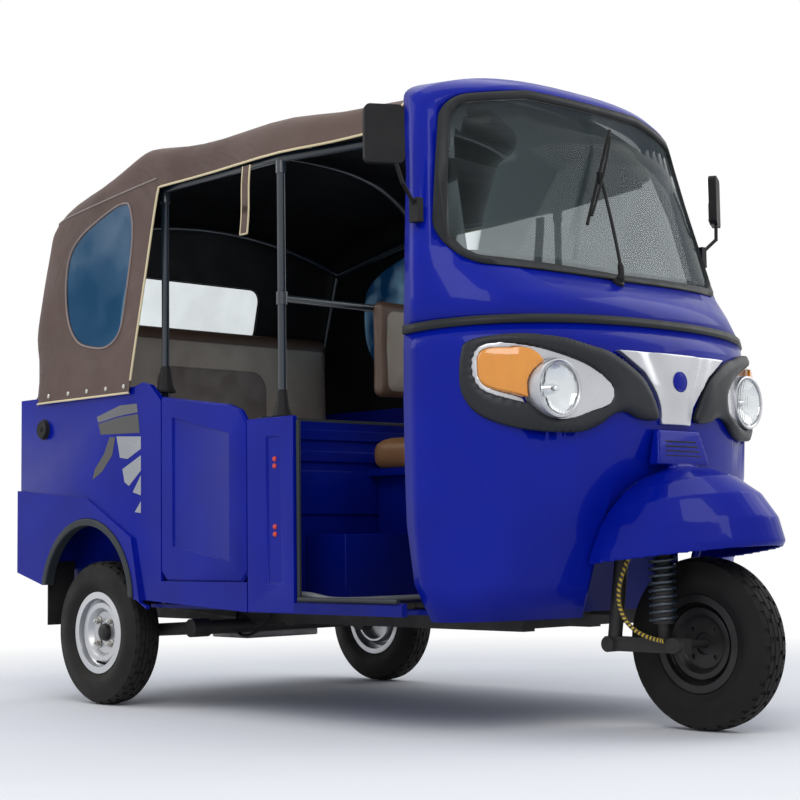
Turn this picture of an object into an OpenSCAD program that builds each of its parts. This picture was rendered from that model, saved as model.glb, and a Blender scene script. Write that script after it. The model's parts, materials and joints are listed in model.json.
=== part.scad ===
// Three-wheeled auto rickshaw: steel tub, single front wheel, soft canopy over a tube frame.
// X is across (the vehicle's left is +X), Y runs from front to rear, and heights in the
// tables are measured from the axle line, which place() lifts to its real height.

/* [Overall] */
// Distance between the front and the rear axle
wheelbase = 2100; // [1700:10:2600]
// Width over the flared lower body sides
body_w = 1470; // [1220:10:1800]
// From the rear axle to the rear face of the body
rear_overhang = 480; // [400:10:640]
// Height of the roof's crown above the axles
roof_z = 1730; // [1640:5:2100]
// Height of the belt line above the axles
belt_z = 695; // [600:5:790]

/* [Body shell] */
// Thickness of the side, rear and partition walls
wall = 20; // [14:1:28]
// Thickness of the pressed front cowl with its lining
cowl_t = 14; // [8:1:20]
// Height of the body's lower edge above the axles
sill_z = 90; // [75:1:110]
// Depth of the sills from lower edge to tread
sill_h = 38; // [30:1:60]
// Thickness of the floor plate
floor_t = 12; // [8:1:16]
// How far the lower sides stand out from the upper sides
flare = 15; // [8:1:25]
// Width of the rear engine lid
lid_w = 860; // [700:10:980]
// Gap round a lid or a fixed panel
shut_gap = 5; // [4:1:8]

/* [Wheels] */
// Outer diameter of the tyres
tyre_d = 500; // [410:2:600]
// Width of the tyres
tyre_w = 118; // [98:1:142]
// Diameter of the rims at the bead seat
rim_d = 254; // [210:1:306]
// Width of the rims over their lips
rim_w = 92; // [76:1:110]
// Radial gap between a tyre and the arch above it
arch_gap = 24; // [12:1:60]
// Pitch diameter of the wheel bolts
bolt_pcd = 110; // [100:1:120]
// Diameter of the wheel bolt holes
bolt_hole_d = 13; // [10:0.5:15]

/* [Steering] */
// Rake of the steering axis from the vertical, in degrees
rake = 25; // [20:1:30]
// Diameter of the steering column
column_d = 48; // [38:1:58]
// Width of the handlebar over its grips
handlebar_w = 640; // [520:10:760]

/* [Canopy] */
// Thickness of the canopy with its lining
canopy_t = 12; // [8:1:15]
// Diameter of the canopy's side rails
rail_d = 28; // [22:1:34]
// Height of the canopy's lower hem above the axles
hem_z = 825; // [780:5:880]

/* [Fittings] */
// Diameter of the headlamp lenses
lamp_d = 164; // [136:2:190]
// Distance between the two number plate bolts
plate_pitch = 200; // [120:5:300]
// Diameter of the number plate bolt holes
plate_hole_d = 7; // [5:0.5:9]
// Diameter of the hole in each towing eye
tow_hole_d = 24; // [18:1:30]
// Radial clearance of a turning fit
run_gap = 0.3; // [0.2:0.05:0.6]

/* [Hidden] */

blue = [0.03, 0.07, 0.62];
black = [0.05, 0.05, 0.06];
charcoal = [0.16, 0.17, 0.18];
silver = [0.75, 0.76, 0.78];
taupe = [0.42, 0.35, 0.32];
orange = [0.95, 0.45, 0.05];
glass = [0.55, 0.62, 0.66, 0.5];

slack = 0.3;                                // gap between seated neighbours
side_x = body_w / 2;                        // outer face of the flared lower sides
upper_x = side_x - flare;                   // outer face of the upper sides
inner_x = upper_x - wall;                   // inner face of the side walls
rear_y = wheelbase + rear_overhang;         // rear face of the body
tyre_r = tyre_d / 2;
wheel_gap = 8;                              // between a rear tyre and the side wall
wheel_x = upper_x - wheel_gap - tyre_w / 2; // middle plane of the rear wheels
nose_y = -250;                              // tip of the front fender
tail_out = 26;                              // how far the tail lamps stand out behind
place_y = -(nose_y + rear_y + tail_out) / 2;

cowl_y = 520;                               // rear edge of the front cowl
cowl_top_x = side_x - 160;                  // half width of the cowl's roof
pillar_y = 1000;                            // front edge of the pillar panels
partition_y = 1205;                         // rear face of the partition
panel_y = partition_y + 25;                 // front shut line of the blind side panel
arch_y = wheelbase + 20;                    // middle of the rear arches
arch_z = 110;                               // centre height of the arches
arch_r = tyre_r + arch_gap - 10;            // inner radius of the arches
arch_trim_w = 26;                           // radial width of the arch trims
panel_rear_y = arch_y - arch_r - 170;       // rear end of the blind side panel
tail_z = sill_z + 118;                      // lower edge of the body behind the wheels
shoulder_z = hem_z + 20;                    // top of the quarter panels
bay_y = panel_rear_y + 90;                  // front of the engine bay under the rear bench
bay_z = 450;                                // underside of the deck over it
deck_z = bay_z + wall;                      // top of the deck
post_x = inner_x - 40;                      // middle of the canopy posts and rails
post_d = 26;
front_post_y = 1120;
rear_post_y = panel_rear_y + 60;
canopy_front_y = 641;
canopy_side_y = rear_post_y - 40;           // front edge of the side curtains

// Front cowl stations, from the lower edge to the rear of the roof:
// height, Y and half width of the side edge, Y and height at the middle, squareness
COWL = [
    [sill_z - 14, 450, side_x - 63, 262, sill_z - 14, 2.4],
    [180, 500, side_x - 46, 225, 180, 2.4],
    [350, 518, side_x - 36, 165, 350, 2.3],
    [500, 520, side_x - 33, 115, 500, 2.25],
    [700, 520, side_x - 31, 92, 715, 2.2],
    [850, 520, side_x - 33, 98, 870, 2.2],
    [899, 520, side_x - 35, 108, 925, 2.2],
    [921, 520, side_x - 35, 116, 947, 2.2],
    [1000, 520, side_x - 38, 190, 1030, 2.3],
    [1080, 520, side_x - 42, 290, 1100, 2.6],
    [1140, 530, side_x - 52, 330, 1150, 2.8],
    [1400, 575, side_x - 105, 375, 1430, 2.4],
    [roof_z - 170, 622, side_x - 145, 420, roof_z - 50, 2.5],
    [roof_z - 125, 628, side_x - 152, 475, roof_z - 8, 2.5],
    [roof_z - 100, 640, cowl_top_x, 640, roof_z, 2.5]
];
bead_low = 6;                               // station under the belt bead
bead_top = 7;                               // station over it
across = 32;                                // strips across the cowl

function unit(v) = v / norm(v);

// Inward normal of a table's middle line at station i, as [Y, Z]
function station_normal(table, i) =
    let (
        a = table[max(i - 1, 0)],
        b = table[min(i + 1, len(table) - 1)],
        along = unit([b[3] - a[3], b[4] - a[4]])
    ) [along[1], -along[0]];

// Point of station i at angle a across a bowed shell, moved inwards by off
function bow_point(table, i, a, off) =
    let (
        s = table[i],
        n = station_normal(table, i),
        wide = (s[2] - off) * sign(a) * pow(abs(sin(a)), 2 / s[5]),
        deep = pow(abs(cos(a)), 2 / s[5]),
        side_h = s[0] + off * n[1] * 0.8,
        mid_h = s[4] + off * n[1]
    ) [wide, s[1] - (s[1] - s[3] - off * n[0]) * deep, side_h + (mid_h - side_h) * deep];

function bow_row(table, i, off) = [for (k = [0:across]) bow_point(table, i, -90 + 180 * k / across, off)];
function cowl_row(i, off) = bow_row(COWL, i, off);

// Closed solid through rings that all have the same number of points. With strip_caps, point k of
// a ring faces its partner on the ring's other half, and a cap is the bent strip between the
// halves. The diagonals mirror at the middle, and match on the two faces of a shell.
module loft(rings, strip_caps = false) {
    m = len(rings[0]);
    half = m / 2;
    last = (len(rings) - 1) * m;
    sides = [
        for (j = [0:len(rings) - 2], k = [0:m - 1])
            let (
                a = j * m + k,
                b = j * m + (k + 1) % m,
                strip = k < half ? k : m - 2 - k,
                flip = strip_caps ? (strip >= (half - 1) / 2) != (k >= half) : k >= half
            )
                each flip
                    ? [[a, b + m, b], [a, a + m, b + m]]
                    : [[a, a + m, b], [b, a + m, b + m]]
    ];
    caps = strip_caps
        ? [
            for (k = [0:m / 2 - 2])
                let (p = m - 1 - k)
                    each [
                        [k, k + 1, p], [k + 1, p - 1, p],
                        [last + k, last + p, last + k + 1], [last + k + 1, last + p, last + p - 1]
                    ]
        ]
        : [[for (k = [0:m - 1]) k], [for (k = [m - 1:-1:0]) last + k]];
    polyhedron([for (r = rings) each r], concat(sides, caps));
}

// Bowed shell from station first to station last, between two offsets from its face
module bow_shell(table, first, last, outer, inner) {
    loft(
        [
            for (i = [first:last])
                concat(bow_row(table, i, outer), [for (k = [across:-1:0]) bow_row(table, i, inner)[k]])
        ],
        strip_caps = true
    );
}
module cowl_shell(first, last, outer, inner) {
    bow_shell(COWL, first, last, outer, inner);
}

// Straight round bar from point a to point b
module rod(a, b, d) {
    v = b - a;
    translate(a)
        rotate([0, acos(v[2] / norm(v)), atan2(v[1], v[0])])
            cylinder(h = norm(v), d = d, $fn = 48);
}

// Plate lying across X, from x0 to x1, with an outline given in [Y, Z]
module side_plate(x0, x1) {
    translate([x0, 0, 0])
        rotate([90, 0, 90])
            linear_extrude(x1 - x0)
                children();
}

// Plate lying across Y, from y0 to y1, with an outline given in [X, Z]
module cross_plate(y0, y1) {
    translate([0, y1, 0])
        rotate([90, 0, 0])
            linear_extrude(y1 - y0)
                children();
}

// Box between two corners
module block(lo, hi) {
    translate(lo) cube(hi - lo);
}

module both_sides() {
    children();
    mirror([1, 0, 0]) children();
}

// Square-cornered outline with its corners rounded, between two corners
module round_rect(lo, hi, r) {
    hull()
        for (x = [lo[0] + r, hi[0] - r], y = [lo[1] + r, hi[1] - r])
            translate([x, y]) circle(r, $fn = 32);
}

// Everything that turns with the handlebar is drawn along the steering axis
axis_y = 30;                                // where the axis crosses the axle line
function on_axis(s) = [0, axis_y + s * sin(rake), s * cos(rake)];
module along_axis() {
    translate([0, axis_y, 0]) rotate([-rake, 0, 0]) children();
}

module place() {
    translate([0, place_y, tyre_r]) children();
}

// ---- chassis and floor

rail_x = 300;                               // middle of the chassis rails
chassis_rail = [50, 60];                    // their width and depth
rail_top = sill_z + 4;                      // underside of the floor plate
arm_pivot = [wheelbase - 370, 20];          // trailing arm pivot, Y and height
arm_x = wheel_x - tyre_w / 2 - 45;          // middle plane of the trailing arms
shock_y = wheelbase + 75;
cross_z = 235;                              // underside of the rear cross member
head_s = [428, 610];                        // ends of the steering head along the axis
head_d = 76;
tow_plate_t = 12;
jack_pad = 46;

module chassis_frame() color(black) {
    deep = chassis_rail[1];
    difference() {
        union() {
            both_sides() block([rail_x - 25, 420, rail_top - deep], [rail_x + 25, rear_y - 60, rail_top]);
            both_sides()
                translate([rail_x, 1500, rail_top - deep - 3.5]) cube([jack_pad, jack_pad, 9], center = true);
            for (y = [420, 900, 1350, rear_y - 110])
                block([-rail_x, y, rail_top - deep + 8], [rail_x, y + 50, rail_top - 8]);
            block([-26, 420, rail_top - deep + 2], [26, 940, rail_top - 2]);
            rod([-arm_x + 50, arm_pivot[0], arm_pivot[1]], [arm_x - 50, arm_pivot[0], arm_pivot[1]], 48);
            both_sides() block([rail_x - 20, arm_pivot[0] - 40, arm_pivot[1]], [rail_x + 20, arm_pivot[0] + 40, rail_top - 10]);
            both_sides() block([rail_x - 20, shock_y - 20, rail_top - 10], [rail_x + 20, shock_y + 20, cross_z + 10]);
            block([-arm_x - 17, shock_y - 25, cross_z], [arm_x + 17, shock_y + 25, cross_z + 40]);
            along_axis() translate([0, 0, head_s[0]]) cylinder(h = head_s[1] - head_s[0], d = head_d, $fn = 64);
            side_plate(-14, 14)
                polygon([
                    [345, rail_top - 20], [345, housing_z + 12], [255, housing_z + 12], [310, 540], [345, 540],
                    [470, rail_top - 20]
                ]);
            both_sides() block([rail_x - tow_plate_t / 2, rear_y - 70, rail_top - deep - 30], [rail_x + tow_plate_t / 2, rear_y - 10, rail_top - 8]);
        }
        along_axis() translate([0, 0, head_s[0] - 1]) cylinder(h = head_s[1] - head_s[0] + 2, d = column_d + 2 * run_gap, $fn = 64);
        for (x = [-rail_x, rail_x])
            translate([x - tow_plate_t, rear_y - 35, rail_top - deep - 5])
                rotate([0, 90, 0]) cylinder(h = 2 * tow_plate_t, d = tow_hole_d, $fn = 48);
    }
}

housing_w = 470;                            // outer width of the front wheel housing
housing_y = 330;
housing_z = 385;
housing_t = 8;

module housing_space(grow) {
    block([-housing_w / 2 - grow, -400, 0], [housing_w / 2 + grow, housing_y + grow, housing_z + grow]);
}

module wheel_housing() color(blue) {
    half = housing_w / 2;
    difference() {
        union() {
            block([-half, housing_y - housing_t, sill_z], [half, housing_y, housing_z]);
            block([-half, 185, housing_z - housing_t], [half, housing_y, housing_z]);
            both_sides() block([half - housing_t, 276, sill_z], [half, housing_y, housing_z]);
        }
        along_axis() cylinder(h = 600, d = head_d + 12, $fn = 64);
    }
}

wheel_room_x = wheel_x - tyre_w / 2 - 12;   // inner limit of the rear wheels' room

module floor_outline() {
    front = [for (p = cowl_row(0, cowl_t + 2)) [p[0], p[1]]];
    half = inner_x - slack;
    polygon(concat(front, [
        [front[across][0], cowl_y], [half, cowl_y + 30], [half, bay_y], [-half, bay_y],
        [-half, cowl_y + 30], [front[0][0], cowl_y]
    ]));
}

module floor_pan() color(blue) {
    difference() {
        translate([0, 0, sill_z + 4 + slack]) linear_extrude(floor_t) floor_outline();
        housing_space(slack);
        side_plate(-16, 16) square([480, 500]);
    }
    sill_top = sill_z + sill_h;
    both_sides() difference() {
        block([inner_x - 1, cowl_y + 2, sill_z], [upper_x, pillar_y - slack, sill_top]);
        translate([upper_x - 8, cowl_y, sill_top - 6]) cube([20, pillar_y, 20]);
    }
}

// ---- front cowl, screen and lamps

module front_cowl() color(blue) {
    difference() {
        cowl_shell(0, bead_low, 0, cowl_t);
        housing_space(0);
    }
}

module belt_bead() color(black) {
    gap = 0.01;
    loft(
        [
            for (f = [0.5 * gap, 1 - 0.5 * gap])
                let (
                    out_low = cowl_row(bead_low, -6), out_top = cowl_row(bead_top, -6),
                    in_low = cowl_row(bead_low, cowl_t), in_top = cowl_row(bead_top, cowl_t)
                )
                    concat(
                        [for (k = [0:across]) (1 - f) * out_low[k] + f * out_top[k]],
                        [for (k = [across:-1:0]) (1 - f) * in_low[k] + f * in_top[k]]
                    )
        ],
        strip_caps = true
    );
}

// Windscreen outline in [X, Z], shrunk by inset
screen_low = [640, 1100];                   // lower corner, across and up
screen_top = [562, roof_z - 92];
screen_bow = 44;                            // rise of the upper edge at the middle
screen_r = 110;
seal_w = 26;

module screen_outline(inset) {
    hull()
        for (p = screen_corners())
            translate(p) circle(screen_r - inset, $fn = 40);
}

module windscreen_frame() color(blue) {
    difference() {
        cowl_shell(bead_top, len(COWL) - 1, 0, cowl_t);
        cross_plate(0, cowl_y + 130) screen_outline(-slack);
    }
}

// Corners of the screen outline, as the centres of its corner rounds
function screen_corners() =
    let (
        wide = side_x - 735,
        low = [screen_low[0] + wide - screen_r, screen_low[1] + screen_r],
        top = [screen_top[0] + wide - screen_r, screen_top[1] - screen_r],
        mid = [0.45 * screen_top[0], screen_top[1] - screen_r + 0.8 * screen_bow]
    ) [[0, low[1] - 12], low, top, mid, [-mid[0], mid[1]], [-top[0], top[1]], [-low[0], low[1]]];

// Middle line of the seal, round the screen outline's corners
function seal_path() =
    let (
        c = screen_corners(),
        r = screen_r - seal_w / 2
    ) [
        for (i = [0:len(c) - 1])
            let (
                before = unit(c[i] - c[(i + len(c) - 1) % len(c)]),
                after = unit(c[(i + 1) % len(c)] - c[i])
            )
                for (f = [0:0.2:1])
                    let (d = unit((1 - f) * before + f * after))
                        c[i] + r * [d[1], -d[0]]
    ];

module windscreen_seal() color(black) {
    path = seal_path();
    intersection() {
        cowl_shell(bead_top + 1, len(COWL) - 1, -5, cowl_t + 3);
        cross_plate(0, cowl_y + 130)
            for (i = [0:len(path) - 1])
                hull() {
                    translate(path[i]) circle(d = seal_w, $fn = 16);
                    translate(path[(i + 1) % len(path)]) circle(d = seal_w, $fn = 16);
                }
    }
}

module windscreen_glass() color(glass) {
    intersection() {
        cowl_shell(bead_top + 1, len(COWL) - 1, 4, 9);
        cross_plate(0, cowl_y + 130) screen_outline(seal_w + 3);
    }
}

lamp = [443, 730];                          // lamp centre, across and up
mask_out = 48;                              // how far the mask stands out of the cowl

module lamp_outline(grow) {
    translate(lamp) circle(lamp_d / 2 + grow, $fn = 48);
}

// Outlines of the lamp cluster's parts in [X, Z] on the left-hand side
indicator_at = [[625, 842], [523, 845], [488, 808], [503, 770], [510, 697], [625, 738]];
cluster_at = [
    [630, 850], [523, 853], [406, 822], [328, 795], [270, 740], [276, 688], [345, 664],
    [393, 643], [457, 640], [518, 680], [630, 730]
];
mask_at = [
    [652, 830], [640, 862], [597, 876], [530, 884], [430, 876], [345, 856], [278, 843], [215, 836],
    [90, 740], [72, 645], [163, 650], [212, 669], [266, 662], [323, 625], [392, 606], [513, 612],
    [587, 634], [634, 670], [654, 712]
];
nose_at = [[238, 842], [150, 785], [98, 725], [76, 690], [70, 640]];

module nose_outline(grow) {
    offset(delta = grow)
        polygon(concat(nose_at, [for (k = [len(nose_at) - 1:-1:0]) [-nose_at[k][0], nose_at[k][1]]]));
}

module headlamp_mask() color(charcoal) {
    intersection() {
        cowl_shell(3, bead_low, -mask_out, -slack);
        cross_plate(-100, cowl_y) difference() {
            both_sides() difference() {
                polygon(mask_at);
                polygon(cluster_at);
            }
            nose_outline(2);
        }
    }
}

module nose_panel() color(silver) {
    intersection() {
        cowl_shell(3, bead_low, -24, -slack);
        cross_plate(-100, cowl_y) nose_outline(0);
    }
}

// Lamp and silver bezel together, shrunk inside the mask's opening
module headlamps() color(silver) {
    both_sides() {
        intersection() {
            cowl_shell(3, bead_low, -24, -slack);
            cross_plate(-100, cowl_y) difference() {
                offset(delta = -1) polygon(cluster_at);
                offset(delta = 2) polygon(indicator_at);
            }
        }
        intersection() {
            cowl_shell(3, bead_low, -42, -20);
            cross_plate(-100, cowl_y) difference() {
                lamp_outline(-2);
                offset(delta = 2) polygon(indicator_at);
            }
        }
    }
}

module indicators() color(orange) {
    both_sides() intersection() {
        cowl_shell(3, bead_low, -42, -slack);
        cross_plate(-100, cowl_y) polygon(indicator_at);
    }
}

// Height of cowl station k at half width x, and Y of the cowl's face at x and height z
function bow_depth(s, x) = pow(1 - pow(x / s[2], s[5]), 1 / s[5]);
function bow_height(s, x) = s[0] + (s[4] - s[0]) * bow_depth(s, x);
function cowl_face(x, z) =
    let (
        i = max([for (k = [0:bead_low - 1]) if (bow_height(COWL[k], x) <= z) k]),
        a = COWL[i],
        b = COWL[i + 1],
        f = (z - bow_height(a, x)) / (bow_height(b, x) - bow_height(a, x)),
        s = (1 - f) * a + f * b
    ) s[1] - (s[1] - s[3]) * bow_depth(s, x);

// Fender stations, with the cowl's columns: the sides end on the cowl's face
fender_z = 228;                             // height of its lower edge
FENDER = [
    for (
        s = [                               // height, half width, tip Y, tip height
            [fender_z, 268, nose_y + 13, fender_z + 50],
            [fender_z + 50, 266, nose_y, fender_z + 66],
            [fender_z + 110, 254, nose_y + 22, fender_z + 135],
            [fender_z + 165, 228, nose_y + 78, fender_z + 205],
            [fender_z + 210, 190, nose_y + 160, fender_z + 255],
            [fender_z + 245, 140, nose_y + 245, fender_z + 280],
            [fender_z + 262, 90, nose_y + 325, fender_z + 288]
        ]
    )
        [s[0], cowl_face(s[1], s[0]) - 2.4, s[1], s[2], s[3], 1.95]
];
fender_t = 10;
vent_w = [240, 196];                        // width of the vent box at its foot and top
vent_z = [fender_z + 290, 622];             // its foot and its top
vent_y = [62, 80];                          // its front at foot and top

module front_fender() color(blue) {
    bow_shell(FENDER, 0, len(FENDER) - 1, 0, fender_t);
    back = cowl_face(0, vent_z[1]) - slack;
    hull() {
        block([-vent_w[0] / 2, vent_y[0], vent_z[0]], [vent_w[0] / 2, back, vent_z[0] + 10]);
        block([-vent_w[1] / 2, vent_y[1], vent_z[1] - 10], [vent_w[1] / 2, back, vent_z[1]]);
    }
}

module wiper() color(black) {
    n = station_normal(COWL, 9);
    foot = 0.35 * COWL[8] + 0.65 * COWL[9];
    seat = [-55, foot[3] - 1.6 * n[0], foot[4] - 1.6 * n[1]];
    head = seat - 30 * [0, n[0], n[1]];
    rod(seat, head, 20);
    rod(head + 8 * [0, n[0], n[1]], [-18, 348, 1420], 9);
    rod([-106, 326, 1262], [78, 382, 1592], 11);
}

mirror_z = 1470;                            // middle height of the mirrors
mirror_w = 118;
mirror_turn = 30;                           // the mirrors face inwards by this
mirror_out = 50;                            // from the body side to the mirrors' middle
module mirrors() color(black) {
    foot_x = side_x - 72.3;
    both_sides() {
        block([foot_x, 470, 1225], [foot_x + 24, 505, 1295]);
        rod([foot_x + 18, 488, 1275], [side_x + 10, 470, 1330], 12);
        rod([side_x + 8, 470, 1325], [side_x + mirror_out, 496, mirror_z + 10], 12);
        translate([side_x + mirror_out, 503, 0])
            rotate([0, 0, mirror_turn])
                cross_plate(-13, 13)
                    round_rect([-mirror_w / 2, mirror_z - 85], [mirror_w / 2, mirror_z + 85], 18);
    }
}

dash_z = [690, 800];                        // underside and top of the dashboard
module dashboard() color(charcoal) {
    half = side_x - 85;
    difference() {
        translate([0, 0, dash_z[0]])
            linear_extrude(dash_z[1] - dash_z[0])
                polygon(concat(
                    [for (p = cowl_row(4, cowl_t + 4)) [p[0], p[1]]],
                    [[half, 540], [-half, 540]]
                ));
        along_axis() cylinder(h = 1200, d = column_d + 60, $fn = 48);
        block([-half + 60, 330, dash_z[0] - 1], [half - 60, 500, dash_z[1] - 40]);
    }
}

// ---- tub

rib_t = 8;
module partition() color(blue) {
    half = inner_x - slack;
    foot = sill_z + 4 + floor_t + 2 * slack;
    block([-half, partition_y - wall, foot], [half, partition_y, belt_z]);
    for (z = [belt_z - 130 : 70 : belt_z - 60])
        block([-half + 60, partition_y - wall - rib_t, z], [half - 60, partition_y - wall, z + 34]);
    block([-half + 60, partition_y - wall - rib_t, belt_z - 300], [half - 60, partition_y - wall, belt_z - 160]);
}

module pillar_panels() color(blue) {
    both_sides() difference() {
        block([inner_x, pillar_y, sill_z], [upper_x, panel_y - shut_gap, belt_z]);
        block([upper_x - 6, pillar_y + 60, sill_z + 90], [upper_x + 5, pillar_y + 130, belt_z - 60]);
    }
}

panel_z = sill_z + 98;                      // lower shut line of the blind panel
// Blind panel outline in [Y, Z], shrunk by inset
module panel_outline(inset) {
    polygon([
        [panel_y + inset, panel_z + 30], [panel_y + inset + 30, panel_z + inset],
        [panel_rear_y - inset - 30, panel_z + inset], [panel_rear_y - inset, panel_z + 30],
        [panel_rear_y - inset, hem_z - 30 - inset], [panel_y + 100, belt_z + 52 - inset],
        [panel_y + 35, belt_z + 30 - inset], [panel_y + inset, belt_z - 15]
    ]);
}

module side_panel() color(blue) mirror([1, 0, 0]) {
    side_plate(inner_x, upper_x - 6) panel_outline(slack - shut_gap);
    side_plate(upper_x - 7, upper_x) difference() {
        panel_outline(0);
        polygon([
            [panel_y + 90, panel_z + 60], [panel_rear_y - 60, panel_z + 110],
            [panel_rear_y - 60, hem_z - 100], [panel_y + 90, belt_z - 40]
        ]);
    }
}

// Rear quarter outline in [Y, Z], from its front end at y0
module quarter_outline(y0) {
    difference() {
        polygon([
            [y0, sill_z], [arch_y - arch_r - 40, sill_z + 30], [arch_y, sill_z + 40], [arch_y + arch_r + 20, tail_z - 45],
            [rear_y, tail_z], [rear_y, shoulder_z], [panel_rear_y + 160, shoulder_z],
            [panel_rear_y + 110, shoulder_z + 12], [panel_rear_y + 70, shoulder_z], [panel_rear_y + 12, hem_z - 30],
            [panel_rear_y + shut_gap, hem_z - 40], [panel_rear_y + shut_gap, panel_z - shut_gap], [y0, panel_z - shut_gap]
        ]);
        translate([arch_y, arch_z]) circle(arch_r + arch_trim_w, $fn = 96);
    }
}

// Flared lower part of the quarter, over the wheel
module flare_outline(y0) {
    intersection() {
        quarter_outline(y0);
        polygon([
            [y0, sill_z - 5], [rear_y + 5, sill_z - 5], [rear_y + 5, 510], [arch_y, 470],
            [arch_y - arch_r - 10, 330], [arch_y - arch_r - 60, sill_z + 20], [y0, sill_z + 10]
        ]);
    }
}

module quarter(y0) {
    side_plate(inner_x, upper_x) quarter_outline(y0);
    side_plate(upper_x - 1, side_x) flare_outline(arch_y - arch_r - 100);
}

module quarter_panel_right() color(blue) mirror([1, 0, 0]) quarter(panel_y);
module quarter_panel_left() color(blue) quarter(panel_y);

lid_z = [tail_z + 60, hem_z - 130];         // lower and upper edge of the engine lid
hinge_d = 14;
hinge_y = rear_y + hinge_d / 2 + 1;         // hinge pin of the engine lid
hinge_w = 60;                               // length of each hinge knuckle
hinge_x = [-lid_w / 2 + 100, lid_w / 2 - 100 - 2 * hinge_w];

module rear_panel() color(blue) {
    half = inner_x - slack;
    cross_plate(rear_y - wall, rear_y) difference() {
        translate([-half, tail_z]) square([2 * half, shoulder_z - tail_z]);
        translate([-lid_w / 2, lid_z[0]]) square([lid_w, lid_z[1] - lid_z[0]]);
    }
    for (x = hinge_x) {
        rod([x + hinge_w + slack, hinge_y, lid_z[1]], [x + 2 * hinge_w, hinge_y, lid_z[1]], hinge_d);
        block([x + hinge_w + slack, rear_y - 2, lid_z[1] + 2], [x + 2 * hinge_w, hinge_y, lid_z[1] + 7]);
    }
}

module engine_lid() color(blue) {
    half = lid_w / 2 - shut_gap;
    lid_t = 12;
    cross_plate(rear_y - lid_t, rear_y) difference() {
        translate([-half, lid_z[0] + shut_gap]) square([2 * half, lid_z[1] - lid_z[0] - 2 * shut_gap]);
        for (s = [-1, 1], k = [0:5])
            translate([s * half / 2 - 110, lid_z[0] + 140 + 36 * k]) square([220, 14]);
        for (s = [-1, 1])
            translate([s * plate_pitch / 2, lid_z[0] + 70]) circle(d = plate_hole_d, $fn = 32);
    }
    for (x = hinge_x) {
        rod([x, hinge_y, lid_z[1]], [x + hinge_w, hinge_y, lid_z[1]], hinge_d);
        block([x, rear_y - 4, lid_z[1] - 14], [x + hinge_w, hinge_y, lid_z[1] - 3]);
    }
}

module arch_trims() color(black) {
    both_sides() side_plate(inner_x + 2, side_x + 6) intersection() {
        difference() {
            translate([arch_y, arch_z]) circle(arch_r + arch_trim_w - 4 * slack, $fn = 96);
            translate([arch_y, arch_z]) circle(arch_r, $fn = 96);
        }
        polygon([
            [arch_y - 2 * arch_r, sill_z + 32], [arch_y, sill_z + 42], [arch_y + arch_r, tail_z - 44],
            [arch_y + 2 * arch_r, tail_z], [arch_y + 2 * arch_r, 900], [arch_y - 2 * arch_r, 900]
        ]);
    }
}

module mud_flaps() color(black) {
    flap_y = arch_y + arch_r + arch_trim_w + 12;
    outer = inner_x - slack;
    both_sides() {
        block([wheel_x - tyre_w / 2 - 6, flap_y, tail_z - 190], [outer, flap_y + 6, tail_z + 40]);
        block([wheel_room_x + 2, flap_y, tail_z + 10], [outer, flap_y + 20, tail_z + 40]);
    }
}

module tail_lamps() color([0.7, 0.05, 0.05]) {
    both_sides() block([upper_x - 130, rear_y + slack, 520], [upper_x - 30, rear_y + tail_out, 720]);
}

// ---- canopy and its frame

canopy_skirt = canopy_t + slack;            // how far the hem stands off the tub
plumb_z = shoulder_z + 20;                  // the canopy's sides hang plumb below this height
hem_room = 5;                               // the leaning curtain clears the tub's top by this
rear_lean = 220;                            // how far the rear curtain leans forwards at the top

// Canopy stations: Y, half width, shoulder height, crown height
CANOPY = [
    [canopy_front_y, cowl_top_x + 22, roof_z - 125, roof_z - 4],
    [canopy_front_y + 240, upper_x - 62, roof_z - 142, roof_z - 18],
    [front_post_y, upper_x - 22, roof_z - 155, roof_z - 28],
    [canopy_side_y, upper_x - 6, roof_z - 165, roof_z - 25],
    [canopy_side_y + 90, upper_x - 2, roof_z - 160, roof_z - 10],
    [canopy_side_y + 200, upper_x, roof_z - 180, roof_z - 45],
    [rear_y - 280, upper_x + 2, roof_z - 215, roof_z - 110],
    [rear_y - rear_lean + canopy_skirt + hem_room, upper_x - 12, roof_z - 260, roof_z - 170]
];

// One ring of the hood, from hem to hem over the roof, moved inwards by off
function hood_ring(s, lean, off) =
    let (
        hem_x = upper_x + canopy_skirt - off,
        top_x = s[1] - off,
        top_z = s[2] - off,
        crown = s[3] - off,
        r = 60,
        low_z = hem_z - (off > 0 ? 40 : 0),
        half = concat(
            [[hem_x, low_z], [hem_x, plumb_z], [(hem_x + top_x) / 2, (low_z + top_z) / 2]],
            [for (a = [0:22.5:67.5]) [top_x - r + r * cos(a), top_z - r + r * sin(a)]],
            [
                for (k = [0:6])
                    let (x = (top_x - r) * (1 - k / 7))
                        [x, top_z + (crown - top_z) * (1 - pow(x / (top_x - r), 2))]
            ]
        ),
        ring = concat([for (p = half) [-p[0], p[1]]], [[0, crown]], [for (k = [len(half) - 1:-1:0]) half[k]])
    )
        [for (p = ring) [p[0], s[0] + lean * (roof_z - p[1]) / (roof_z - hem_z), p[1]]];

module hood(off) {
    last = len(CANOPY) - 1;
    rows = [
        for (i = [0:last])
            let (
                s = CANOPY[i],
                lean = i < 5 ? 0 : i == 5 ? 60 : rear_lean,
                y = s[0] + (i == 0 && off > 0 ? -5 : i == last ? -off : 0)
            )
                hood_ring([y, s[1], s[2], s[3]], lean, off)
    ];
    loft(rows);
}

module hood_skin(outer, inner) {
    difference() {
        hood(outer);
        hood(inner);
    }
}

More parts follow.
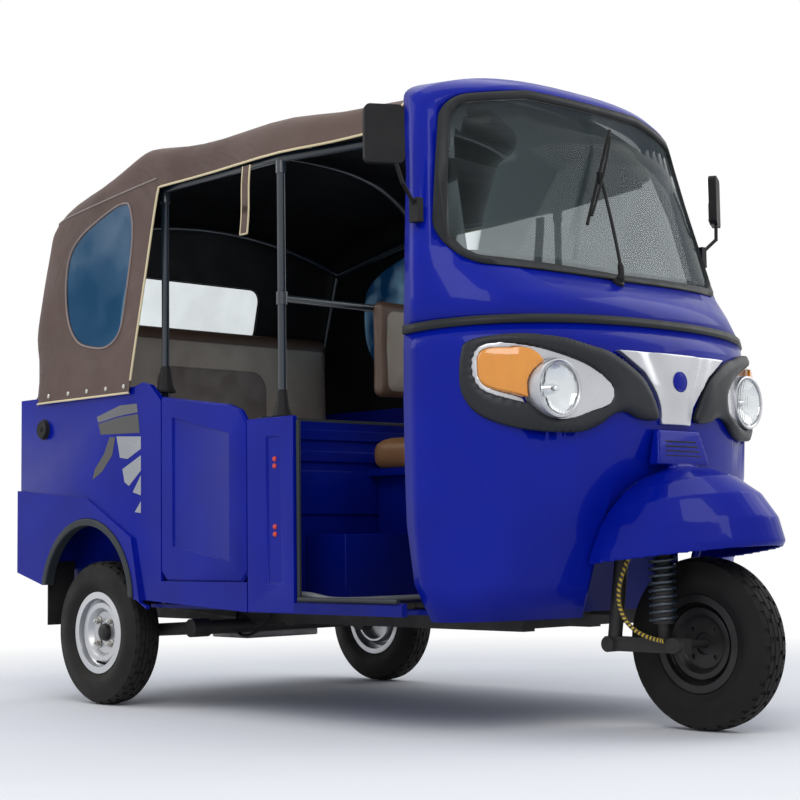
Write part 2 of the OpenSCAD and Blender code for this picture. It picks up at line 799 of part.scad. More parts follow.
window_z = [1005, 1480];
module side_window(grow) {
    front = canopy_side_y + 150;
    hull() {
        translate([front + 30, window_z[1] - 40]) circle(40 + grow, $fn = 32);
        translate([front + 190, window_z[1] - 62]) circle(60 + grow, $fn = 32);
        translate([front + 300, window_z[0] + 190]) circle(70 + grow, $fn = 32);
        translate([front + 210, window_z[0] + 80]) circle(75 + grow, $fn = 32);
        translate([front + 100, window_z[0] + 70]) circle(60 + grow, $fn = 32);
    }
}

module rear_window(grow) {
    round_rect([-330 - grow, 1130 - grow], [330 + grow, 1340 + grow], 50);
}

module canopy_cuts(grow) {
    side_plate(-side_x - 100, side_x + 100) side_window(grow);
    cross_plate(rear_y - 400, rear_y + 100) rear_window(grow);
}

module canopy() color(taupe) {
    difference() {
        hood_skin(0, canopy_t);
        block([-side_x - 100, 0, 0], [side_x + 100, canopy_side_y, roof_z - 215]);
        canopy_cuts(0);
    }
}

module canopy_windows() color(glass) {
    intersection() {
        hood_skin(4, 8);
        canopy_cuts(-slack);
    }
}

rail_z = roof_z - 205;                      // middle height of the side rails
rear_rail_z = roof_z - 310;                 // their height at the rear corners
bow_d = 20;
grab_rail_z = 1075;
tub_floor = sill_z + 4 + floor_t + 2 * slack;

// Roof bow between the side rails
module bow(y, z, rise, half_x = post_x) {
    r = (half_x * half_x + rise * rise) / (2 * rise);
    half = asin(half_x / r);
    translate([0, y, z + rise - r])
        rotate([90, 0, 0])
            rotate([0, 0, 90 - half])
                rotate_extrude(angle = 2 * half, $fn = 180)
                    translate([r, 0]) circle(d = bow_d, $fn = 32);
}

front_rail_x = cowl_top_x - 18;             // the side rails narrow to this at the cowl
module roof_frame() color(charcoal) {
    bend_y = canopy_side_y + 110;
    corner_y = rear_y - 215;
    both_sides() {
        rod([post_x, front_post_y, tub_floor], [post_x, front_post_y, rail_z], post_d);
        rod([post_x, rear_post_y, tub_floor], [post_x, rear_post_y, rail_z], post_d);
        rod([front_rail_x, canopy_front_y + 10, rail_z], [post_x, front_post_y, rail_z], rail_d);
        rod([post_x, front_post_y - 6, rail_z], [post_x, bend_y, rail_z], rail_d);
        rod([post_x, bend_y - 5, rail_z + 2], [post_x, corner_y, rear_rail_z], rail_d - 2);
        rod([post_x, corner_y - 5, rear_rail_z + 5], [post_x, rear_y - 50, hem_z + 25], post_d - 4);
    }
    rod([-post_x, front_post_y, grab_rail_z], [post_x, front_post_y, grab_rail_z], 24);
    bow(canopy_front_y + 30, rail_z, 150, front_rail_x + 6);
    for (y = [front_post_y, rear_post_y + 60])
        bow(y, rail_z, 150);
    bow(corner_y - 10, rear_rail_z + 2, 115);
    rod([-post_x, rear_y - 56, hem_z + 40], [post_x, rear_y - 56, hem_z + 40], bow_d);
}

// ---- seats

seat_box_z = 330;                           // top of the battery box
driver_seat_z = 545;                        // top of the driver's seat frame
seat_back_y = partition_y - wall - rib_t;   // face behind the driver's seat
module seat_box() color(blue) {
    block([-520, seat_back_y - 190, tub_floor], [420, seat_back_y - slack, seat_box_z]);
    block([-210, seat_back_y - 185, seat_box_z], [210, seat_back_y - 5, driver_seat_z]);
    block([-250, 740, driver_seat_z - 25], [250, seat_back_y - 5, driver_seat_z]);
}

module driver_cushion() color([0.5, 0.38, 0.28]) {
    block([-280, 720, driver_seat_z + slack], [280, seat_back_y - 8, driver_seat_z + 100]);
}

module driver_backrest() color(taupe) {
    block([-320, front_post_y - 12 - 62, 760], [320, front_post_y - 12 - slack, 1110]);
}

// Deck and walls of the engine bay, which carry the rear bench
module passenger_base() color(charcoal) {
    half = inner_x - slack;
    back = rear_y - wall - slack;
    block([-half, bay_y + slack, bay_z], [half, back, deck_z]);
    block([-wheel_room_x, bay_y + slack, sill_z + 10], [wheel_room_x, bay_y + wall, bay_z + 1]);
    both_sides() block([wheel_room_x - 14, bay_y + slack, sill_z + 10], [wheel_room_x, back, bay_z + 1]);
}

bench_back_y = rear_y - 238;                // front face of the bench's backrest at its foot
module passenger_cushion() color(taupe) {
    block([-inner_x + 65, bay_y - 30, deck_z + slack], [inner_x - 65, bench_back_y - 2, deck_z + 130]);
}

module passenger_backrest() color(taupe) {
    side_plate(-inner_x + 65, inner_x - 65)
        polygon([
            [bench_back_y, deck_z + slack], [rear_y - 100, deck_z + slack], [rear_y - 130, 1170],
            [bench_back_y + 20, 1170]
        ]);
}

// ---- engine, rear axle and wheels

module engine() color(charcoal) {
    block([-230, wheelbase - 170, -60], [230, wheelbase + 40, rail_top + 110]);
}

shaft_d = 26;
spindle_d = 40;
hub_x = tyre_w / 2 + 10;                    // from the wheel's middle to the arm's face

module rear_arms() color(black) {
    both_sides() difference() {
        union() {
            rod([arm_x - 49.5, arm_pivot[0], arm_pivot[1]], [arm_x + 22, arm_pivot[0], arm_pivot[1]], 62);
            rod([arm_x, arm_pivot[0], arm_pivot[1]], [arm_x, wheelbase, 0], 44);
            rod([arm_x - 24, wheelbase, 0], [arm_x + 26, wheelbase, 0], 90);
            rod([arm_x + 20, wheelbase, 0], [wheel_x + 5, wheelbase, 0], spindle_d);
            block([arm_x - 16, wheelbase, -20], [arm_x + 16, shock_y + 30, 20]);
        }
        rod([arm_x - 60, wheelbase, 0], [wheel_x + 40, wheelbase, 0], shaft_d + 2 * run_gap);
    }
}

module rear_shocks() color(black) {
    both_sides() {
        rod([arm_x, shock_y, 20 + slack], [arm_x, shock_y, sill_z], 48);
        rod([arm_x, shock_y, sill_z - 1], [arm_x, shock_y, cross_z - slack], 34);
    }
}

// Steel wheel about X with its outer face towards +X: lips, bead seats, well and dished disc
module steel_wheel() {
    seat = rim_d / 2;
    lip = seat + 15;
    half = rim_w / 2;
    t = 4;
    dish = half - 22;
    rotate([0, 90, 0])
        difference() {
            rotate_extrude($fn = 120)
                polygon([
                    [lip, -half], [lip, -half + t], [seat, -half + t], [seat, -half + 26], [seat - 16, -half + 34],
                    [seat - 16, half - 34], [seat, half - 26], [seat, half - t], [lip, half - t], [lip, half],
                    [seat - 8, half], [seat - 8, half - 22], [seat - 20, half - 32], [seat - 24, dish + 8], [86, dish + 8],
                    [72, dish - 12], [32, dish - 12], [32, dish - 18], [76, dish - 18], [90, dish + 2], [seat - 24, dish + 2],
                    [seat - 20, -half + 30], [seat - 4, -half + 22], [seat - 4, -half]
                ]);
            for (k = [0:3])
                rotate([0, 0, 45 + 90 * k])
                    translate([bolt_pcd / 2, 0, -half]) cylinder(h = rim_w, d = bolt_hole_d, $fn = 48);
        }
}

// Brake drum behind the disc, with the hub and its bore
module drum(bore) {
    half = rim_w / 2;
    face = half - 40;
    rotate([0, 90, 0])
        rotate_extrude($fn = 96)
            polygon([
                [bore / 2, face - 60], [bore / 2, face - 0.5], [82, face - 0.5], [92, face - 10], [92, face - 52],
                [84, face - 52], [84, face - 12], [34, face - 12], [34, face - 60]
            ]);
}

module tyre() {
    seat = rim_d / 2 + slack;
    half = tyre_w / 2;
    r = tyre_r;
    bead = rim_w / 2 - 4 - slack;
    tall = r - seat;
    rotate([0, 90, 0])
        rotate_extrude($fn = 120)
            polygon([
                [seat, -bead], [seat + 16, -bead], [seat + 20, -bead - 2], [seat + 0.38 * tall, -half], [seat + 0.6 * tall, -half + 1],
                [r - 14, -half + 11], [r - 4, -half + 24], [r, -half + 44], [r, half - 44], [r - 4, half - 24],
                [r - 14, half - 11], [seat + 0.6 * tall, half - 1], [seat + 0.38 * tall, half], [seat + 20, bead + 2],
                [seat + 16, bead], [seat, bead]
            ]);
}

module rear_wheel_place() {
    translate([wheel_x, wheelbase, 0]) children();
}

module rear_rim() {
    rear_wheel_place() {
        steel_wheel();
        drum(spindle_d + 2 * run_gap);
    }
    rod([230 + slack, wheelbase, 0], [wheel_x + 12, wheelbase, 0], shaft_d);
    rod([wheel_x + 5 + run_gap, wheelbase, 0], [wheel_x + rim_w / 2 - 39, wheelbase, 0], 80);
}

module rear_rim_right() color(silver) mirror([1, 0, 0]) rear_rim();
module rear_rim_left() color(silver) rear_rim();
module rear_tyre_right() color(black) mirror([1, 0, 0]) rear_wheel_place() tyre();
module rear_tyre_left() color(black) rear_wheel_place() tyre();

// ---- steering and front wheel

fork_x = 120;                               // the single fork leg stands right of the wheel
column_s = [300, 1010];                     // ends of the column along the axis
crown_z = 278;                              // underside of the fork crown
crown_t = 24;
axle_d = 24;

module steering_column() color(black) {
    along_axis() translate([0, 0, column_s[0]]) cylinder(h = column_s[1] - column_s[0], d = column_d, $fn = 64);
    top = on_axis(column_s[1] - 20);
    half = handlebar_w / 2;
    both_sides() {
        rod(top, top + [half - 150, 20, 30], 30);
        rod(top + [half - 158, 20, 29], top + [half, 75, 22], 36);
    }
    along_axis() translate([-70, -50, column_s[1] - 40]) cube([140, 110, 60]);
}

module front_fork() color(black) {
    crown_y = on_axis(crown_z / cos(rake))[1];
    difference() {
        union() {
            block([-fork_x - 30, 35, crown_z], [-fork_x + 30, crown_y + 40, crown_z + crown_t]);
            block([-fork_x - 30, crown_y - 40, crown_z], [45, crown_y + 50, crown_z + crown_t]);
            rod([-fork_x, 205, crown_z + 5], [-fork_x, 245, -5], 42);
            block([-fork_x - 18, -24, -24], [-fork_x + 18, 268, 18]);
            rod([-fork_x - 34, 245, -4], [-fork_x + 30, 245, -4], 46);
        }
        along_axis() cylinder(h = 600, d = column_d + 2 * slack, $fn = 64);
    }
    rod([-fork_x - 42, 0, 0], [26, 0, 0], axle_d);
    rod([-fork_x - 40, 0, 0], [-fork_x - 10, 0, 0], 44);
}

module front_shock() color(black) {
    rod([-fork_x, 60, crown_z - slack], [-fork_x, 60, crown_z - 110], 44);
    rod([-fork_x, 60, crown_z - 109], [-fork_x, 60, 60], 62);
    rod([-fork_x, 60, 61], [-fork_x, 60, 18 + slack], 34);
}

module front_rim() color(black) {
    mirror([1, 0, 0]) {
        steel_wheel();
        drum(axle_d + 2 * run_gap);
    }
}

module front_tyre() color(black) tyre();

place() chassis_frame();
place() floor_pan();
place() wheel_housing();
place() front_cowl();
place() belt_bead();
place() windscreen_frame();
place() windscreen_seal();
place() windscreen_glass();
place() headlamp_mask();
place() nose_panel();
place() headlamps();
place() indicators();
place() front_fender();
place() wiper();
place() mirrors();
place() dashboard();
place() partition();
place() pillar_panels();
place() side_panel();
place() quarter_panel_right();
place() quarter_panel_left();
place() rear_panel();
place() engine_lid();
place() arch_trims();
place() mud_flaps();
place() tail_lamps();
place() roof_frame();
place() canopy();
place() canopy_windows();
place() seat_box();
place() driver_cushion();
place() driver_backrest();
place() passenger_base();
place() passenger_cushion();
place() passenger_backrest();
place() engine();
place() rear_arms();
place() rear_shocks();
place() steering_column();
place() front_fork();
place() front_shock();
place() front_rim();
place() front_tyre();
place() rear_rim_right();
place() rear_rim_left();
place() rear_tyre_right();
place() rear_tyre_left();
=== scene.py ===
import json
import math

import bmesh
import bpy
from mathutils import Matrix, Vector, kdtree, noise
from mathutils.bvhtree import BVHTree


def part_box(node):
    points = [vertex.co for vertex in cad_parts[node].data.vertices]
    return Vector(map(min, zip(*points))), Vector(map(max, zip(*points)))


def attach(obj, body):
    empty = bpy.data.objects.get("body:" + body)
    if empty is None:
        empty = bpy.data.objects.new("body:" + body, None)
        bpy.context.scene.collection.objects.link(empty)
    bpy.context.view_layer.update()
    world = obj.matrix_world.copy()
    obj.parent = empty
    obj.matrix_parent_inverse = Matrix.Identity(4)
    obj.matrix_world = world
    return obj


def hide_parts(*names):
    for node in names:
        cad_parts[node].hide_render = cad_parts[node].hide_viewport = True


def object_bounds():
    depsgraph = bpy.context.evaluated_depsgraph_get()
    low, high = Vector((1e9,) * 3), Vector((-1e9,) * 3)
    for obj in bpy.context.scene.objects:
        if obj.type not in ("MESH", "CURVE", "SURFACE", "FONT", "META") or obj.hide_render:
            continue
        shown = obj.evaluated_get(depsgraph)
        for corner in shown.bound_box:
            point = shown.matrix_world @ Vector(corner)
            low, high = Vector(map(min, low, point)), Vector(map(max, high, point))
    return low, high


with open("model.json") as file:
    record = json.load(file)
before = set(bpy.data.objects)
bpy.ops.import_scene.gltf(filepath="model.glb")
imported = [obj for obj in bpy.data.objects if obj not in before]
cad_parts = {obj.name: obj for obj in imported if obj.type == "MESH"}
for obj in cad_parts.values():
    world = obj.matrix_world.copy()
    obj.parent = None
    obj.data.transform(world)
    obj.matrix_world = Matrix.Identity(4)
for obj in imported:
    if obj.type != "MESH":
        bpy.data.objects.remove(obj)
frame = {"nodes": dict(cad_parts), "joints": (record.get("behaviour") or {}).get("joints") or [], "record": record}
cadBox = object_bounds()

scene = bpy.context.scene
nodeObjects = frame["nodes"]
joints = {j["name"]: j for j in frame["joints"]}
bodyOfNode = {n: b for b, members in frame["record"]["behaviour"]["bodies"].items() for n in members}
frontAxle = Vector(joints["front_wheel_spin"]["pos_m"])
rearAxle = Vector(joints["rear_wheel_right_spin"]["pos_m"])
steerPivot = Vector(joints["steering_turn"]["pos_m"])
steerAxis = Vector(joints["steering_turn"]["axis"]).normalized()


def at(x, y, z):
    # metres across, rearwards of the front axle, and above the ground
    return Vector((x, frontAxle.y + y, z))


def mm(x, y, z):
    # millimetres across, rearwards of the front axle, and above the axles
    return at(x / 1000, y / 1000, z / 1000 + frontAxle.z)


# camera, a little under eye height at the front right corner
cameraSetup = {"x": -4.099, "y": -3.069, "z": 0.556, "yaw": 43.29, "pitch": 4.67, "roll": -0.74, "lens": 77.7}


def makeCamera():
    s = cameraSetup
    yaw, pitch, roll = (math.radians(s[k]) for k in ("yaw", "pitch", "roll"))
    forward = Vector((math.sin(yaw) * math.cos(pitch), math.cos(yaw) * math.cos(pitch), math.sin(pitch)))
    right = Vector((math.cos(yaw), -math.sin(yaw), 0))
    up = right.cross(forward)
    rightRolled = right * math.cos(roll) + up * math.sin(roll)
    upRolled = up * math.cos(roll) - right * math.sin(roll)
    data = bpy.data.cameras.new("camera")
    data.lens = s["lens"]
    data.sensor_width = 36
    data.clip_end = 60
    camera = bpy.data.objects.new("camera", data)
    scene.collection.objects.link(camera)
    turn = Matrix((rightRolled, upRolled, -forward)).transposed().to_4x4()
    camera.matrix_world = Matrix.Translation(at(s["x"], s["y"], s["z"])) @ turn
    scene.camera = camera


makeCamera()
print("camera placed")


# ---- materials

def startMaterial(name):
    material = bpy.data.materials.new(name)
    material.use_nodes = True
    tree = material.node_tree
    return material, tree, tree.nodes["Principled BSDF"]


def objectSpace(tree, scale=(1, 1, 1), turn=(0, 0, 0)):
    place = tree.nodes.new("ShaderNodeTexCoord")
    mapping = tree.nodes.new("ShaderNodeMapping")
    mapping.inputs["Scale"].default_value = scale
    mapping.inputs["Rotation"].default_value = turn
    tree.links.new(place.outputs["Object"], mapping.inputs["Vector"])
    return mapping.outputs["Vector"]


def cloud(tree, scale, detail=3, vector=None):
    # soft noise from 0 to 1
    grain = tree.nodes.new("ShaderNodeTexNoise")
    grain.inputs["Scale"].default_value = scale
    grain.inputs["Detail"].default_value = detail
    tree.links.new(vector or objectSpace(tree), grain.inputs["Vector"])
    return grain.outputs["Fac"]


def spread(tree, value, low, high, fromLow=0.35, fromHigh=0.65):
    node = tree.nodes.new("ShaderNodeMapRange")
    node.inputs["From Min"].default_value = fromLow
    node.inputs["From Max"].default_value = fromHigh
    node.inputs["To Min"].default_value = low
    node.inputs["To Max"].default_value = high
    tree.links.new(value, node.inputs["Value"])
    return node.outputs["Result"]


def math2(tree, kind, a, b=0.5):
    node = tree.nodes.new("ShaderNodeMath")
    node.operation = kind
    for socket, value in zip(node.inputs, (a, b)):
        if isinstance(value, (int, float)):
            socket.default_value = value
        else:
            tree.links.new(value, socket)
    return node.outputs[0]


def blendColour(tree, factor, a, b):
    node = tree.nodes.new("ShaderNodeMix")
    node.data_type = "RGBA"
    tree.links.new(factor, node.inputs["Factor"])
    for socket, value in ((node.inputs[6], a), (node.inputs[7], b)):
        if isinstance(value, tuple):
            socket.default_value = (*value, 1)
        else:
            tree.links.new(value, socket)
    return node.outputs[2]


def bump(tree, shader, height, strength, depth):
    node = tree.nodes.new("ShaderNodeBump")
    node.inputs["Strength"].default_value = strength
    node.inputs["Distance"].default_value = depth
    tree.links.new(height, node.inputs["Height"])
    tree.links.new(node.outputs["Normal"], shader.inputs["Normal"])


def finish(name, colours, rough=(0.4, 0.5), grain=None, dust=None, patch=4.0, **sockets):
    # colours: the two ends of a soft variation; grain: bump scale, strength and depth;
    # dust: colour, full height, clear height and amount
    material, tree, shader = startMaterial(name)
    base = blendColour(tree, spread(tree, cloud(tree, patch), 0, 1), *colours)
    if dust:
        tint, full, clear, amount = dust
        parts = tree.nodes.new("ShaderNodeSeparateXYZ")
        tree.links.new(objectSpace(tree), parts.inputs[0])
        low = spread(tree, parts.outputs["Z"], amount, 0, full, clear)
        mottled = math2(tree, "MULTIPLY", low, spread(tree, cloud(tree, 9, 5), 0.35, 1))
        base = blendColour(tree, mottled, base, tint)
    tree.links.new(base, shader.inputs["Base Color"])
    tree.links.new(spread(tree, cloud(tree, patch * 3), *rough), shader.inputs["Roughness"])
    if grain:
        bump(tree, shader, cloud(tree, grain[0], 2), grain[1], grain[2])
    for key, value in sockets.items():
        shader.inputs[key.replace("_", " ")].default_value = value
    return material


roadDust = (0.16, 0.13, 0.10)
bluePaint = finish("bluePaint", ((0.0006, 0.0070, 0.240), (0.0010, 0.0095, 0.285)), (0.30, 0.38), (420, 0.04, 0.0003),
                   (roadDust, 0.22, 0.50, 0.04), Coat_Weight=0.22, Coat_Roughness=0.03, Specular_IOR_Level=0.05)
# the parts inside the tub get a darker copy of the blue paint: painted shade, with real road dust low down
shadedInnerPaint = finish("shadedInnerPaint", ((0.0006, 0.0060, 0.150), (0.0010, 0.0080, 0.190)), (0.36, 0.46), (420, 0.05, 0.0003),
                    (roadDust, 0.20, 0.50, 0.08), Coat_Weight=0.12, Coat_Roughness=0.12, Specular_IOR_Level=0.06)
tubeBlack = finish("tubeBlack", ((0.010, 0.018, 0.028), (0.016, 0.026, 0.038)), (0.28, 0.38), (300, 0.05, 0.0004),
                   Coat_Weight=0.5, Coat_Roughness=0.15)
chassisBlack = finish("chassisBlack", ((0.012, 0.013, 0.015), (0.024, 0.023, 0.022)), (0.45, 0.62), (160, 0.15, 0.0008),
                      (roadDust, 0.10, 0.50, 0.16), Specular_IOR_Level=0.3)
charcoal = finish("charcoalPlastic", ((0.016, 0.018, 0.021), (0.022, 0.024, 0.028)), (0.38, 0.46), (900, 0.12, 0.0003),
                  Specular_IOR_Level=0.22)
softBlack = finish("softBlack", ((0.006, 0.006, 0.007), (0.011, 0.011, 0.012)), (0.52, 0.66), (500, 0.15, 0.0004), Specular_IOR_Level=0.2)
trimRubber = finish("trimRubber", ((0.012, 0.018, 0.022), (0.018, 0.025, 0.030)), (0.46, 0.58), (350, 0.12, 0.0004),
                    (roadDust, 0.20, 0.50, 0.08), Specular_IOR_Level=0.35)
gasketRubber = finish("gasketRubber", ((0.010, 0.012, 0.014), (0.016, 0.018, 0.020)), (0.42, 0.52), (400, 0.1, 0.0004),
                      Specular_IOR_Level=0.2)
flapRubber = finish("flapRubber", ((0.007, 0.007, 0.007), (0.012, 0.012, 0.011)), (0.55, 0.7), (220, 0.2, 0.0006),
                    (roadDust, 0.16, 0.50, 0.10), Specular_IOR_Level=0.3)
tyreRubber = finish("tyreRubber", ((0.006, 0.006, 0.006), (0.011, 0.010, 0.009)), (0.58, 0.72), (260, 0.18, 0.0005),
                    (roadDust, 0.02, 0.30, 0.06), Specular_IOR_Level=0.22)
wheelSilver = finish("wheelSilver", ((0.50, 0.51, 0.53), (0.60, 0.61, 0.63)), (0.28, 0.38), (200, 0.06, 0.0004),
                     (roadDust, 0.05, 0.40, 0.12), Metallic=0.75, Coat_Weight=0.3)
wheelBlack = finish("wheelBlack", ((0.007, 0.007, 0.008), (0.013, 0.013, 0.014)), (0.34, 0.48), (200, 0.1, 0.0004),
                    (roadDust, 0.05, 0.40, 0.08), Specular_IOR_Level=0.35)
silverTrim = finish("silverTrim", ((0.46, 0.47, 0.50), (0.54, 0.55, 0.58)), (0.26, 0.34), (500, 0.04, 0.0002),
                    Metallic=0.8, Coat_Weight=0.6, Coat_Roughness=0.08)
zincSteel = finish("zincSteel", ((0.42, 0.41, 0.38), (0.58, 0.57, 0.54)), (0.25, 0.42), (400, 0.1, 0.0003), patch=30, Metallic=1.0)
brightMetal = finish("brightMetal", ((0.78, 0.79, 0.80), (0.88, 0.89, 0.90)), (0.06, 0.12), (60, 0.02, 0.0002), Metallic=1.0)
castMetal = finish("castMetal", ((0.16, 0.16, 0.17), (0.26, 0.26, 0.27)), (0.42, 0.6), (240, 0.35, 0.001),
                   (roadDust, 0.10, 0.60, 0.4), patch=14, Metallic=0.85)
creamPiping = finish("creamPiping", ((0.66, 0.55, 0.33), (0.76, 0.64, 0.40)), (0.42, 0.55), (900, 0.15, 0.0003))
orangeLens = finish("orangeLens", ((0.90, 0.30, 0.006), (0.97, 0.37, 0.010)), (0.10, 0.16), (160, 0.12, 0.001),
                    Transmission_Weight=0.25, Coat_Weight=1.0, Coat_Roughness=0.03)
redLens = finish("redLens", ((0.42, 0.010, 0.008), (0.52, 0.016, 0.012)), (0.10, 0.16), (160, 0.12, 0.001),
                 Transmission_Weight=0.2, Coat_Weight=1.0, Coat_Roughness=0.03)
redPlug = finish("redPlug", ((0.55, 0.03, 0.02), (0.62, 0.05, 0.03)), (0.35, 0.45), (500, 0.1, 0.0003))
seamCloth = finish("seamCloth", ((0.20, 0.16, 0.15), (0.26, 0.21, 0.19)), (0.5, 0.6), (600, 0.15, 0.0003))
pipeGrey = finish("pipeGrey", ((0.22, 0.23, 0.24), (0.30, 0.31, 0.32)), (0.35, 0.5), (300, 0.1, 0.0004))
plateWhite = finish("plateWhite", ((0.74, 0.75, 0.74), (0.80, 0.81, 0.80)), (0.3, 0.4), (500, 0.05, 0.0002))


def clearSheet(name, tint, clearness, rough, ripple, body=(0.10, 0.12, 0.12)):
    # thin clear sheet: mostly see-through, glossy at a slant
    material, tree, shader = startMaterial(name)
    see = tree.nodes.new("ShaderNodeBsdfTransparent")
    see.inputs["Color"].default_value = (*tint, 1)
    mix = tree.nodes.new("ShaderNodeMixShader")
    edge = tree.nodes.new("ShaderNodeFresnel")
    edge.inputs["IOR"].default_value = 1.5
    cover = math2(tree, "ADD", math2(tree, "MULTIPLY", edge.outputs[0], 0.8), spread(tree, cloud(tree, 5), 0, 1 - clearness))
    tree.links.new(cover, mix.inputs[0])
    tree.links.new(see.outputs[0], mix.inputs[1])
    tree.links.new(shader.outputs[0], mix.inputs[2])
    tree.links.new(mix.outputs[0], tree.nodes["Material Output"].inputs["Surface"])
    tree.links.new(spread(tree, cloud(tree, 3), rough, rough * 1.6), shader.inputs["Roughness"])
    shader.inputs["Base Color"].default_value = (*body, 1)
    shader.inputs["Specular IOR Level"].default_value = 0.6
    if ripple:
        bump(tree, shader, cloud(tree, 7, 2), ripple, 0.004)
    return material


screenGlass = clearSheet("screenGlass", (0.93, 0.97, 0.98), 0.97, 0.015, 0)
clearVinyl = clearSheet("clearVinyl", (0.92, 0.95, 0.96), 0.93, 0.06, 0.05)
sideVinyl = clearSheet("sideVinyl", (0.62, 0.82, 0.92), 0.72, 0.08, 0.10, (0.05, 0.20, 0.36))


def lampGlass():
    # clear moulded lens with upright flutes
    material, tree, shader = startMaterial("lampGlass")
    flutes = tree.nodes.new("ShaderNodeTexWave")
    flutes.bands_direction = "X"
    flutes.inputs["Scale"].default_value = 34
    flutes.inputs["Distortion"].default_value = 0.0
    tree.links.new(objectSpace(tree), flutes.inputs["Vector"])
    bump(tree, shader, flutes.outputs["Fac"], 0.25, 0.001)
    tree.links.new(spread(tree, cloud(tree, 20), 0.02, 0.06), shader.inputs["Roughness"])
    shader.inputs["Base Color"].default_value = (0.94, 0.96, 0.97, 1)
    shader.inputs["Transmission Weight"].default_value = 0.95
    shader.inputs["IOR"].default_value = 1.35
    return material


def canopyCloth():
    # coated canvas: two crossing thread waves, soft creases and a dusty bloom
    material, tree, shader = startMaterial("canopyCloth")
    base = blendColour(tree, spread(tree, cloud(tree, 2.2, 5), 0, 1), (0.090, 0.056, 0.045), (0.120, 0.078, 0.064))
    bloom = spread(tree, cloud(tree, 11, 6), 0, 0.25, 0.5, 0.8)
    tree.links.new(blendColour(tree, bloom, base, (0.17, 0.12, 0.10)), shader.inputs["Base Color"])
    threads = []
    for turn in ((0, 0, 0), (0, math.radians(45), math.radians(90))):
        wave = tree.nodes.new("ShaderNodeTexWave")
        wave.inputs["Scale"].default_value = 150
        wave.inputs["Distortion"].default_value = 0.4
        tree.links.new(objectSpace(tree, (1, 1, 1), turn), wave.inputs["Vector"])
        threads.append(wave.outputs["Fac"])
    weave = math2(tree, "MULTIPLY", *threads)
    creases = math2(tree, "MULTIPLY", cloud(tree, 1.0, 4, objectSpace(tree, (2.2, 0.9, 1.4))), 14)
    bump(tree, shader, math2(tree, "ADD", weave, creases), 0.35, 0.0016)
    tree.links.new(spread(tree, cloud(tree, 6), 0.52, 0.68), shader.inputs["Roughness"])
    shader.inputs["Sheen Weight"].default_value = 0.05
    shader.inputs["Specular IOR Level"].default_value = 0.2
    return material


def seatVinyl(name, plain, border=None, panel=None, field=None, middle=None):
    # grained vinyl; field and middle are boxes x0, x1, z0, z1 and their corner radius, sewn in with a seam
    material, tree, shader = startMaterial(name)
    parts = tree.nodes.new("ShaderNodeSeparateXYZ")
    tree.links.new(objectSpace(tree), parts.inputs[0])

    def toEdge(box):
        # signed distance to a rounded box, below zero inside
        x0, x1, z0, z1, r = box
        sides = []
        for out, low, high in ((parts.outputs["X"], x0, x1), (parts.outputs["Z"], z0, z1)):
            away = math2(tree, "ABSOLUTE", math2(tree, "SUBTRACT", out, (low + high) / 2))
            sides.append(math2(tree, "MAXIMUM", math2(tree, "SUBTRACT", away, (high - low) / 2 - r), 0))
        far = math2(tree, "SQRT", math2(tree, "ADD", math2(tree, "POWER", sides[0], 2), math2(tree, "POWER", sides[1], 2)))
        return math2(tree, "SUBTRACT", far, r)

    mottle = spread(tree, cloud(tree, 8, 4), 0, 1)
    base = blendColour(tree, mottle, *(border or plain))
    seams = None
    for box, colours in ((field, plain), (middle, panel)):
        if box:
            edge = toEdge(box)
            base = blendColour(tree, math2(tree, "LESS_THAN", edge, 0), base, blendColour(tree, mottle, *colours))
            line = math2(tree, "LESS_THAN", math2(tree, "ABSOLUTE", edge), 0.003)
            base = blendColour(tree, math2(tree, "MULTIPLY", line, 0.55), base, (0.02, 0.015, 0.012))
            seams = line if seams is None else math2(tree, "MAXIMUM", seams, line)
    tree.links.new(base, shader.inputs["Base Color"])
    cells = tree.nodes.new("ShaderNodeTexVoronoi")
    cells.inputs["Scale"].default_value = 420
    tree.links.new(objectSpace(tree), cells.inputs["Vector"])
    height = math2(tree, "MULTIPLY", cells.outputs["Distance"], 0.4)
    if seams is not None:
        height = math2(tree, "SUBTRACT", height, math2(tree, "MULTIPLY", seams, 3))
    bump(tree, shader, height, 0.35, 0.0012)
    tree.links.new(spread(tree, cloud(tree, 12), 0.38, 0.52), shader.inputs["Roughness"])
    return material


lensGlass = lampGlass()
cloth = canopyCloth()
print("materials made")


# ---- making and placing pieces

def smoothShade(mesh, angle):
    for face in mesh.polygons:
        face.use_smooth = True
    mesh.set_sharp_from_angle(angle=math.radians(angle))


def bevelOn(piece, width, segments=2, angle=35):
    m = piece.modifiers.new("softEdges", "BEVEL")
    m.width = width
    m.segments = segments
    m.limit_method = "ANGLE"
    m.angle_limit = math.radians(angle)
    m.use_clamp_overlap = True


def addPiece(bm, name, material, body="body", replaces=(), angle=35, bevel=0, outward=True):
    if outward:
        bmesh.ops.remove_doubles(bm, verts=bm.verts, dist=1e-6)
        bmesh.ops.recalc_face_normals(bm, faces=bm.faces)
    mesh = bpy.data.meshes.new(name)
    bm.to_mesh(mesh)
    bm.free()
    for one in material if isinstance(material, (list, tuple)) else [material]:
        mesh.materials.append(one)
    smoothShade(mesh, angle)
    piece = bpy.data.objects.new(name, mesh)
    scene.collection.objects.link(piece)
    if bevel:
        bevelOn(piece, bevel)
    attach(piece, body)
    if replaces:
        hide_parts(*replaces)
    return piece


def nodeCopy(node, flatten=True):
    bm = bmesh.new()
    bm.from_mesh(nodeObjects[node].data)
    bmesh.ops.remove_doubles(bm, verts=bm.verts, dist=2e-5)
    if flatten:
        bmesh.ops.dissolve_limit(bm, angle_limit=math.radians(0.6), verts=bm.verts, edges=bm.edges)
    return bm


